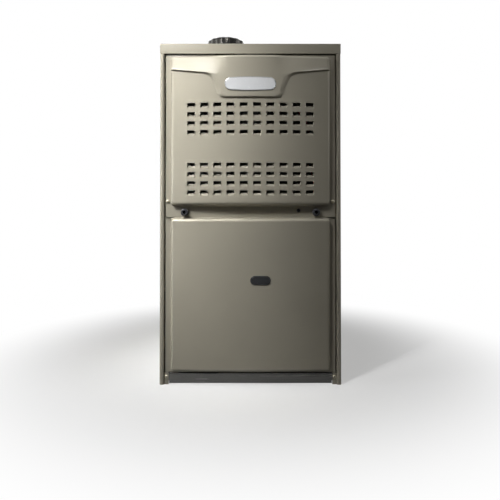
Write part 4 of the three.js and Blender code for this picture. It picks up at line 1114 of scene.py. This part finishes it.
def add_tube(shape, points, radius, sides):
    """Adds a round tube through points, with closed ends."""
    rings = []
    side = Vector((0.31, 0.52, 0.8))
    turns = [2 * math.pi * k / sides for k in range(sides)]
    for n, point in enumerate(points):
        along = direction(points, n)
        side = (side - along * side.dot(along)).normalized()
        up = along.cross(side)
        rings.append([shape.verts.new(point + radius * (side * math.cos(t) + up * math.sin(t)))
                      for t in turns])
    for first, second in zip(rings, rings[1:]):
        for k in range(sides):
            after = (k + 1) % sides
            shape.faces.new((first[k], first[after], second[after], second[k]))
    shape.faces.new(rings[0][::-1])
    shape.faces.new(rings[-1])


def curve_through(points, steps):
    """A smooth line through points, each pair joined by a few steps."""
    points = [Vector(point) for point in points]
    line = []
    for n in range(len(points) - 1):
        a, b = points[max(n - 1, 0)], points[n]
        c, d = points[n + 1], points[min(n + 2, len(points) - 1)]
        for t in (k / steps for k in range(steps)):
            line.append(0.5 * (2 * b + (c - a) * t + (2 * a - 5 * b + 4 * c - d) * t ** 2
                               + (3 * b - a - 3 * c + d) * t ** 3))
    return line + [points[-1]]


def add_bolt(shape, at, axis, out, radius):
    """Adds a hex-washer screw head on a face; out is the side of the face that it stands on."""
    base = at["XYZ".index(axis)]
    washer = [(0, 0), (radius + 1.6, 0), (radius + 1.4, 0.8), (0, 0.9)]
    head = [(0, 0.7), (radius, 0.7), (radius, 2.9), (radius - 0.6, 3.4), (radius * 0.5, 3.4), (0, 3.0)]
    for profile, steps in ((washer, 18), (head, 6)):
        add_turned(shape, [(r, base + out * off) for r, off in profile], axis, at, steps)


def add_bolts(shape, middle, axis, face, out, radius, count, reach, start, left_out=0):
    """Adds screws round an axis through a point, on a face that lies at a place along it."""
    along = "XYZ".index(axis)
    first, second = (n for n in range(3) if n != along)
    for n in range(count - left_out):
        turn = start + 2 * math.pi * n / count
        at = Vector(middle)
        at[along] = face
        at[first] += reach * math.cos(turn)
        at[second] += reach * math.sin(turn)
        add_bolt(shape, at, axis, out, radius)


PLAIN_WORKS = {
    "liner_left": 1.0, "liner_right": 1.0, "lower_panel_insulation": 2.5, "flue_collector_box": 0.4,
    "burner_rack": 0.35, "motor_mount": 0.5, "heat_exchanger_left": 1.2, "heat_exchanger_center": 1.2,
    "heat_exchanger_right": 1.2, "hot_surface_ignitor": 0.3, "flame_sensor": 0.4, "rollout_switch_left": 0.3,
    "rollout_switch_right": 0.3, "limit_switch": 0.4, "door_switch": 0.8, "door_switch_button": 0.8,
    "gas_line_grommet": 0.5, "pressure_hose": 0.4, "gas_valve_knob": 0.8, "blower_shaft": 0.5,
    "inducer_cooling_fan": 0.3, "transformer": 0.5,
}


class FURNACE_OT_works(bpy.types.Operator):
    """Rounds the plain pieces inside the cabinet"""

    bl_idname = "furnace.works"
    bl_label = "Plain Works"

    def execute(self, context):
        for node, width in PLAIN_WORKS.items():
            dress(node, "rounded", width, smooth=45)
        return {"FINISHED"}


BLOWER_BORE = 7.0
BLOWER_VANES = 44
PAINTED_VENT_SHADES = 14


class FURNACE_OT_blower(bpy.types.Operator):
    """Builds the blower's scroll, its wheel with forward-curved vanes, its motor and its capacitor"""

    bl_idname = "furnace.blower"
    bl_label = "Blower"

    def execute(self, context):
        low, high = span("blower_wheel")
        through = (low + high) / 2
        self.wheel(through, high.x - through.x, high.z - through.z)
        self.scroll(through)
        self.motor(through)
        self.capacitor()
        return {"FINISHED"}

    def wheel(self, through, half, radius):
        shape = bmesh.new()
        disc = [(BLOWER_BORE, -1.2), (radius - 15, -1.2), (radius - 9, -2.2), (radius - 4, -2.2)]
        hub = [(BLOWER_BORE, -22), (14.5, -22), (16, -20.5)]
        add_turned(shape, mirrored(disc), "X", through, 84)
        add_turned(shape, mirrored(hub), "X", through, 48)
        rim = [(13, 0.8), (12.4, 0.2), (1, 0.2), (0, 1.2), (0, 4), (1, 4.6), (1.2, 1.8), (12, 1.4),
               (13, 0.8)]
        for end in (-1, 1):
            add_turned(shape, [(radius - r, end * (half - x)) for r, x in rim], "X", through, 84)
        turn = frame_along("X", through)
        vane = [(14.5, -4.0), (10.5, -3.0), (6.5, -0.8), (3.5, 2.2), (1.8, 5.4)]
        vane = [(radius - r, x) for r, x in vane]
        for n in range(BLOWER_VANES):
            spin = Matrix.Rotation(2 * math.pi * n / BLOWER_VANES, 4, "Z")
            add_ribbon(shape, vane, 0.9, 1.6 - half, half - 1.6, turn @ spin)
        stand_in("blower_wheel_vanes", shape, "blower_wheel", 40.0)

    def scroll(self, through):
        shape = rounded_copy("blower_housing", 0.5)
        low, high = span("blower_housing")
        for x, out in ((low.x, -1), (high.x, 1)):
            add_bolts(shape, through, "X", x, out, 3.2, 6, 136.0, 0.5, left_out=1)
        stand_in("blower_scroll", shape, "blower_housing", 45.0)

    def motor(self, through):
        low, high = span("blower_motor")
        radius, start, end = (high.z - low.z) / 2, low.x, high.x
        shell = [(BLOWER_BORE, 0), (25.5, 0), (28, 2), (28.5, 6), (radius - 8, 8), (radius - 2.5, 11),
                 (radius - 0.6, 17), (radius - 0.6, 27), (radius, 27.5), (radius, 30), (radius - 0.6, 30.5)]
        shape, painted_vent_shades, bolts = bmesh.new(), bmesh.new(), bmesh.new()
        add_turned(shape, mirrored([(r, start + x) for r, x in shell], (start + end) / 2), "X", through, 72)
        stand_in("blower_motor_shell", shape, "blower_motor", 30.0)
        at = Matrix.Translation(Vector((0, through.y, through.z)))
        # Near-black blocks through the end bell are painted shade where its vent slots would be open.
        for n in range(PAINTED_VENT_SHADES):
            painted_vent_shade = bmesh.new()
            add_block(painted_vent_shade, (end - 8.0, -3.0, 34.0), (end - 6.3, 3.0, radius - 12.0), 0.8)
            spin = Matrix.Rotation(2 * math.pi * n / PAINTED_VENT_SHADES, 4, "X")
            bmesh.ops.transform(painted_vent_shade, matrix=at @ spin, verts=painted_vent_shade.verts)
            append(painted_vent_shades, painted_vent_shade)
        finish_piece("blower_motor_vents", painted_vent_shades, "blower_motor", "shadow_black")
        add_bolts(bolts, through, "X", end - 8.2, 1, 2.6, 4, radius - 6.5, 0.6)
        finish_piece("blower_motor_bolts", bolts, "blower_motor", "bright_steel", (), 25.0)

    def capacitor(self):
        low, high = span("run_capacitor")
        x, y, top, radius = (low.x + high.x) / 2, low.y + 19.0, high.z, 18.0
        shape = rounded_copy("run_capacitor", 0.5)
        add_turned(shape, [(0, top - 1), (radius - 3, top - 1), (radius - 3, top + 0.4),
                           (radius - 5, top + 0.8), (0, top + 0.8)], "Z", (x, y, 0), 40)
        for tab_x in (x - 6, x + 6):
            for tab_y in (y - 3, y + 3):
                add_block(shape, (tab_x - 0.4, tab_y - 1.6, top), (tab_x + 0.4, tab_y + 1.6, top + 7), 0.2)
        stand_in("run_capacitor_can", shape, "run_capacitor", 45.0)


PRESSURE_DRUM = (163.0, -162.0, 652.0)  # the middle of the pressure switch's front
STACK_SHEETS = 9
STACK_PITCH = 2.2


class FURNACE_OT_inducer(bpy.types.Operator):
    """Builds the flue-gas inducer: its housing, wheel and motor, and the pressure switch that proves it"""

    bl_idname = "furnace.inducer"
    bl_label = "Inducer"

    def execute(self, context):
        low, high = span("inducer_motor")
        through = (low + high) / 2
        shape = rounded_copy("inducer_housing", 0.8)
        add_bolts(shape, through, "Y", span("inducer_housing")[0].y, -1, 3.0, 6, 71.0, 0.26)
        stand_in("inducer_volute", shape, "inducer_housing", 45.0)
        dress("inducer_wheel", "rounded", 0.3, 1, smooth=40)
        self.motor(through, low.y, high.y)
        shape = rounded_copy("pressure_switch", 0.5)
        add_bolts(shape, PRESSURE_DRUM, "Y", PRESSURE_DRUM[1], -1, 1.8, 6, 31.5, 0.3)
        stand_in("pressure_switch_drum", shape, "pressure_switch", 35.0)
        return {"FINISHED"}

    def motor(self, through, nose, face):
        bell = [(4.6, face), (59.4, face), (60, face - 0.6), (60, face - 2.2), (59.4, face - 2.6),
                (42, face - 2.6), (40.5, face - 3.4), (40.5, face - 12), (38, face - 16), (38, nose + 20),
                (36, nose + 12), (30, nose + 6), (16, nose + 3), (15, nose), (4.6, nose), (4.6, face)]
        shape, core = bmesh.new(), bmesh.new()
        add_turned(shape, bell, "Y", through, 64)
        add_bolts(shape, through, "Y", face - 2.6, -1, 2.8, 4, 52.0, 0.78)
        stand_in("inducer_motor_bell", shape, "inducer_motor")
        first = face - 22
        stack = [(37, first)]
        for y in (first - n * STACK_PITCH for n in range(STACK_SHEETS)):
            stack += [(45.8, y), (45.8, y - 1.7), (45.2, y - 1.8), (45.2, y - 2.1)]
        stack += [(37, first - STACK_SHEETS * STACK_PITCH), (37, first)]
        add_turned(core, stack, "Y", through, 48)
        finish_piece("inducer_motor_stack", core, "inducer_motor", "bright_steel", (), 30.0)


class FURNACE_OT_gas_train(bpy.types.Operator):
    """Builds the burners, the manifold and the gas valve"""

    bl_idname = "furnace.gas_train"
    bl_label = "Gas Train"

    def execute(self, context):
        for side in ("left", "center", "right"):
            self.burner(f"burner_{side}")
        dress("gas_manifold", "pipe", 0.5, smooth=35)
        dress("gas_valve", "body", 1.2, 3, smooth=40)
        low, high = span("gas_valve")
        screws, cap, top = bmesh.new(), bmesh.new(), high.z
        for x, z in ((-200, 478), (-158, 478), (-200, 521), (-158, 521)):
            add_bolt(screws, (x, low.y, z), "Y", -1, 2.2)
        finish_piece("gas_valve_screws", screws, "gas_valve", "bright_steel", (), 25.0)
        add_turned(cap, [(0, top), (15, top), (15.6, top + 0.4), (15.6, top + 1.2), (14.5, top + 2),
                         (0, top + 2)], "Z", ((low.x + high.x) / 2 + 1.0, -225.0, 0), 40)
        finish_piece("gas_valve_cap", cap, "gas_valve", "brass")
        return {"FINISHED"}

    def burner(self, node):
        """A burner's tube with the spider of its flame holder."""
        low, high = span(node)
        through, mouth, head = (low + high) / 2, low.y, high.y
        outside = [(16.4, 0), (17, 0.5), (16.6, 4), (14.2, 14), (12.5, 26), (12.5, 58), (14, 66), (17.6, 76),
                   (19, 82)]
        outside = [(r, mouth + y) for r, y in outside] + [(19, head - 0.6), (18.6, head)]
        inside = [(r - 1.2, y) for r, y in reversed(outside)]
        disc = [(0, head - 5), (10, head - 5), (10, head - 6.2), (0, head - 6.2)]
        shape = bmesh.new()
        add_turned(shape, outside + inside + outside[:1], "Y", through, 48)
        add_turned(shape, disc, "Y", through, 32)
        along = axis_frame("Y", through)
        for n in range(12):
            turn = Matrix.Rotation(2 * math.pi * n / 12, 4, "Z")
            add_ribbon(shape, [(9.6, 0.0), (17.9, 0.0)], 1.4, head - 8, head - 4, along @ turn)
        stand_in(f"{node}_tube", shape, node, 38.0)


WIRE_PATH = [(115.3, -198, 300), (131, -198, 300), (163, -195, 318), (178, -195, 350), (179, -195, 400),
             (179, -195, 450), (179, -195, 500), (175, -181, 535), (165, -149, 556), (165, -128, 560),
             (165, -118.6, 560)]
WIRES = {"cable_sheath": 2, "relay_blue": 1, "red_plastic": 1, "white_plastic": 1, "lamp_amber": 1}


class FURNACE_OT_controls(bpy.types.Operator):
    """Builds the control box, the board with its parts, and the wiring"""

    bl_idname = "furnace.controls"
    bl_label = "Controls"

    def execute(self, context):
        dress("control_box", "sheet", 0.35, smooth=50)
        self.board()
        self.wiring()
        return {"FINISHED"}

    def board(self):
        """The board and its parts, each placed by the height it stands off the board's front."""
        low, high = span("control_board")
        face = low.y + 15.2
        parts = {finish: bmesh.new() for finish in
                 (None, "relay_blue", "black_plastic", "white_plastic", "lamp_amber", "bright_steel")}

        def peg(finish, x, z, profile, steps):
            add_turned(parts[finish], [(r, face - off) for r, off in profile], "Y", (x, 0, z), steps)

        def block(finish, x, z, wide, tall, off, edge, back=0.1, segments=2):
            add_block(parts[finish], (x, face - off, z), (x + wide, face - back, z + tall), edge, segments)

        add_block(parts[None], (low.x, face, low.z), (high.x, face + 1.8, high.z), 0.3)
        foot = face - high.y
        for x in (low.x + 8, high.x - 8):
            for z in (low.z + 8, high.z - 8):
                peg("white_plastic", x, z, [(0, 1.4), (2.4, 1.4), (3, 0.8), (3, foot), (0, foot)], 16)
        for x in (-72, -48, -24):
            block("relay_blue", x, 292, 20, 28, 15.2, 0.8)
        screw = [(0, 10.8), (2.6, 10.8), (3, 10.4), (3, 9.8), (0, 9.8)]
        for n in range(7):
            block("white_plastic", -70 + n * 10, 202, 9, 10, 10, 0.5)
            peg("bright_steel", -65.5 + n * 10, 207, screw, 12)
        block("black_plastic", -34, 246, 22, 22, 3.2, 0.4, back=0.5)
        for n in range(10):
            for x in (-36, -12):
                block("bright_steel", x, 247.5 + n * 2.1, 2, 0.8, 1.6, 0.1, segments=1)
        for x, z, r, tall in ((-64, 262, 6, 13), (-64, 242, 5, 11), (30, 262, 6, 13), (46, 262, 4, 9)):
            peg("black_plastic", x, z, [(0, tall), (r - 0.8, tall), (r, tall - 0.8), (r, 0.1), (0, 0.1)], 24)
        for n in range(8):
            block("lamp_amber", -6 + n * 7, 280, 3, 8, 2.6, 0.8, back=0.3)
        for x in (10, 42):
            block("black_plastic", x, 222, 4, 6, 6, 0.4)
        add_turned(parts["bright_steel"], [(0, 13), (2.4, 13), (2.4, 43), (0, 43)], "X",
                   (0, face - 4.5, 225), 16)
        peg("lamp_amber", WINDOW["x"], WINDOW["z"], [(0, 7.2), (1.8, 7), (2.8, 5.6), (3, 1), (0, 1)], 20)
        for finish, shape in parts.items():
            name = "control_board_" + (finish or "sheet")
            finish_piece(name, shape, "control_board", finish, () if finish else ("control_board",), 35.0)

    def wiring(self):
        """A bundle of twisted wires along the harness."""
        path = curve_through(WIRE_PATH, 7)
        for place, (finish, count) in enumerate(WIRES.items()):
            shape = bmesh.new()
            for k in range(count):
                start = 2 * math.pi * (place + (5 if k else 0)) / 6
                line = [point + self.offset(path, n, start + n * 0.11) for n, point in enumerate(path)]
                add_tube(shape, line, 1.75, 8)
            replaced = ("wire_harness",) if place == 0 else ()
            finish_piece(f"wire_{finish}", shape, "wire_harness", finish, replaced, 60.0)

    @staticmethod
    def offset(path, n, turn):
        """How far from the bundle's middle a wire lies, at a turn round it."""
        along = direction(path, n)
        side = along.cross(Vector((0.2, 0.9, 0.38))).normalized()
        return 3.7 * (side * math.cos(turn) + along.cross(side) * math.sin(turn))


class FURNACE_OT_finishes(bpy.types.Operator):
    """Gives every CAD node that still shows its finish"""

    bl_idname = "furnace.finishes"
    bl_label = "Finishes"

    def execute(self, context):
        for node, piece in frame["nodes"].items():
            if not piece.hide_render:
                for slot in piece.material_slots:
                    slot.material = material(SLOT_OF[node])
        return {"FINISHED"}


# ---------------------------------------------------------------- studio


FRONT = -0.34  # where the panels' faces lie
WIDE = 180.0  # a lamp without a grid
LAMPS = {  # each lamp's place, the point it looks at, its size and its beam's spread in degrees
    "key": ((-0.8, -1.1, 1.42), (-0.21, -0.35, 0.49), (0.5, 0.72), 24.0),
    "crest": ((0.5, -1.2, 1.6), (0.14, FRONT, 0.84), (0.5, 0.3), 24.0),
    "strip": ((-1.5, -0.64, 0.78), (-0.1, FRONT, 0.62), (0.4, 0.8), WIDE),
    "glint": ((-0.37, -1.32, 1.34), (-0.13, FRONT, 0.79), (0.22, 0.06), 12.0),
    "rim": ((1.4, -0.7, 1.0), (0.1, FRONT, 0.7), (0.3, 0.9), WIDE),
}
WHITE = (1.0, 1.0, 1.0, 1.0)


def add_lamp(name, energy, at, towards, size, spread):
    """A rectangular lamp that looks at a point and that the camera doesn't see."""
    light = bpy.data.lights.new(name, "AREA")
    light.shape = "RECTANGLE"
    light.size, light.size_y = size
    light.energy = energy
    light.spread = math.radians(spread)
    lamp = bpy.data.objects.new(name, light)
    lamp.location = at
    lamp.visible_camera = False
    lamp.rotation_euler = (Vector(towards) - Vector(at)).to_track_quat("-Z", "Y").to_euler()
    bpy.context.scene.collection.objects.link(lamp)


class FURNACE_OT_studio(bpy.types.Operator):
    """Sets up the floor, the white surroundings, the lamps and the camera"""

    bl_idname = "furnace.studio"
    bl_label = "Studio"

    def execute(self, context):
        scene, studio = context.scene, context.scene.furnace_studio
        scene.view_settings.view_transform = "Standard"
        data = bpy.data.cameras.new("camera")
        data.lens, data.sensor_width = studio.lens, 36.0
        data.shift_x, data.shift_y = -0.0008, -0.0665
        camera = bpy.data.objects.new("camera", data)
        camera.location = (0.0, FRONT - studio.distance, studio.eye)
        camera.rotation_euler = (math.pi / 2 + studio.pitch, 0.0, 0.0)
        scene.collection.objects.link(camera)
        scene.camera = camera
        for name, layout in LAMPS.items():
            add_lamp(name, getattr(studio, name), *layout)
        shape = bmesh.new()
        bmesh.ops.create_circle(shape, cap_ends=True, segments=96, radius=6.0)
        mesh = bpy.data.meshes.new("floor")
        shape.to_mesh(mesh)
        shape.free()
        floor = bpy.data.objects.new("floor", mesh)
        mesh.materials.append(floor_material(studio.floor))
        scene.collection.objects.link(floor)
        white_world(scene)
        return {"FINISHED"}


def floor_material(tint):
    """A floor that keeps the furnace's shadow and fades to white round it, pale only to the camera."""
    made = bpy.data.materials.new("studio_floor")
    made.use_nodes = True
    f = Finish(made.node_tree)
    camera = f.ray("Camera")
    pale = f.shades(f.noise(40.0, 3.0), tint, 0.985, 1.015)
    matt = f.node("BsdfPrincipled", inputs={"Base Color": f.mix(camera, shade(tint, 0.2), pale),
                                            "Roughness": 0.7})
    white = f.node("Emission", inputs={"Color": WHITE, "Strength": 1.0})
    reach = f.node("VectorMath", {"operation": "LENGTH"}, {0: f.place()}, "Value")
    behind = f.mask(f.node("SeparateXYZ", inputs={0: f.place()}, output="Y"), 0.0, 1.0)
    seen = f.sum("MINIMUM", camera + f.ray("Transmission") + f.ray("Glossy") * behind, 1.0)
    away = f.between(f.mask(reach, 0.34, 0.9), 0.35, 1.0)
    both = f.node("MixShader", inputs={0: away * seen, 1: matt, 2: white})
    f.node("OutputMaterial", inputs={"Surface": both})
    return made


def white_world(scene):
    """White to the camera; to reflections nearly black in front, lit from above, and white behind."""
    world = bpy.data.worlds.new("studio")
    world.use_nodes = True
    scene.world = world
    f = Finish(world.node_tree)
    way = f.node("TexCoord", output="Generated")
    y, z = (f.node("SeparateXYZ", inputs={0: way}, output=axis) for axis in "YZ")
    behind = f.mask(y, 0.0, 0.6)
    glossy = f.ray("Glossy")
    above = f.mask(z, 0.5, 0.95) * (1.0 - behind)
    around = f.between(behind, 0.008, 1.0) + above * 0.5
    diffuse = f.between(f.mask(z, -0.2, 0.8), 0.01, 0.09)
    seen = f.sum("MINIMUM", f.ray("Camera") + f.ray("Transmission"), 1.0)
    shown = glossy * around + (1.0 - glossy) * diffuse
    back = f.node("Background", inputs={"Color": WHITE, "Strength": seen + (1.0 - seen) * shown})
    f.node("OutputWorld", inputs={"Surface": back})


# ---------------------------------------------------------------- sidebar and running


OPERATORS = (
    FURNACE_OT_upper_panel,
    FURNACE_OT_lower_panel,
    FURNACE_OT_badge,
    FURNACE_OT_window,
    FURNACE_OT_latches,
    FURNACE_OT_screws,
    FURNACE_OT_cabinet,
    FURNACE_OT_flue,
    FURNACE_OT_works,
    FURNACE_OT_blower,
    FURNACE_OT_inducer,
    FURNACE_OT_gas_train,
    FURNACE_OT_controls,
    FURNACE_OT_finishes,
    FURNACE_OT_studio,
)


class FURNACE_PT_sidebar(bpy.types.Panel):
    """Lists the furnace's settings and the steps that build it"""

    bl_idname = "FURNACE_PT_sidebar"
    bl_label = "Furnace"
    bl_space_type = "VIEW_3D"
    bl_region_type = "UI"
    bl_category = "Furnace"

    def draw(self, context):
        for name, group in SETTINGS.items():
            box = self.layout.box()
            for setting in group.__annotations__:
                box.prop(getattr(context.scene, name), setting)
        for operator in OPERATORS:
            self.layout.operator(operator.bl_idname)


CLASSES = (*SETTINGS.values(), *OPERATORS, FURNACE_PT_sidebar)


def register():
    for entry in CLASSES:
        bpy.utils.register_class(entry)
    for name, group in SETTINGS.items():
        setattr(bpy.types.Scene, name, PointerProperty(type=group))


def unregister():
    for name in SETTINGS:
        delattr(bpy.types.Scene, name)
    for entry in reversed(CLASSES):
        bpy.utils.unregister_class(entry)


def main():
    register()
    for operator in OPERATORS:
        family, name = operator.bl_idname.split(".")
        getattr(getattr(bpy.ops, family), name)()


if __name__ == "__main__":
    main()
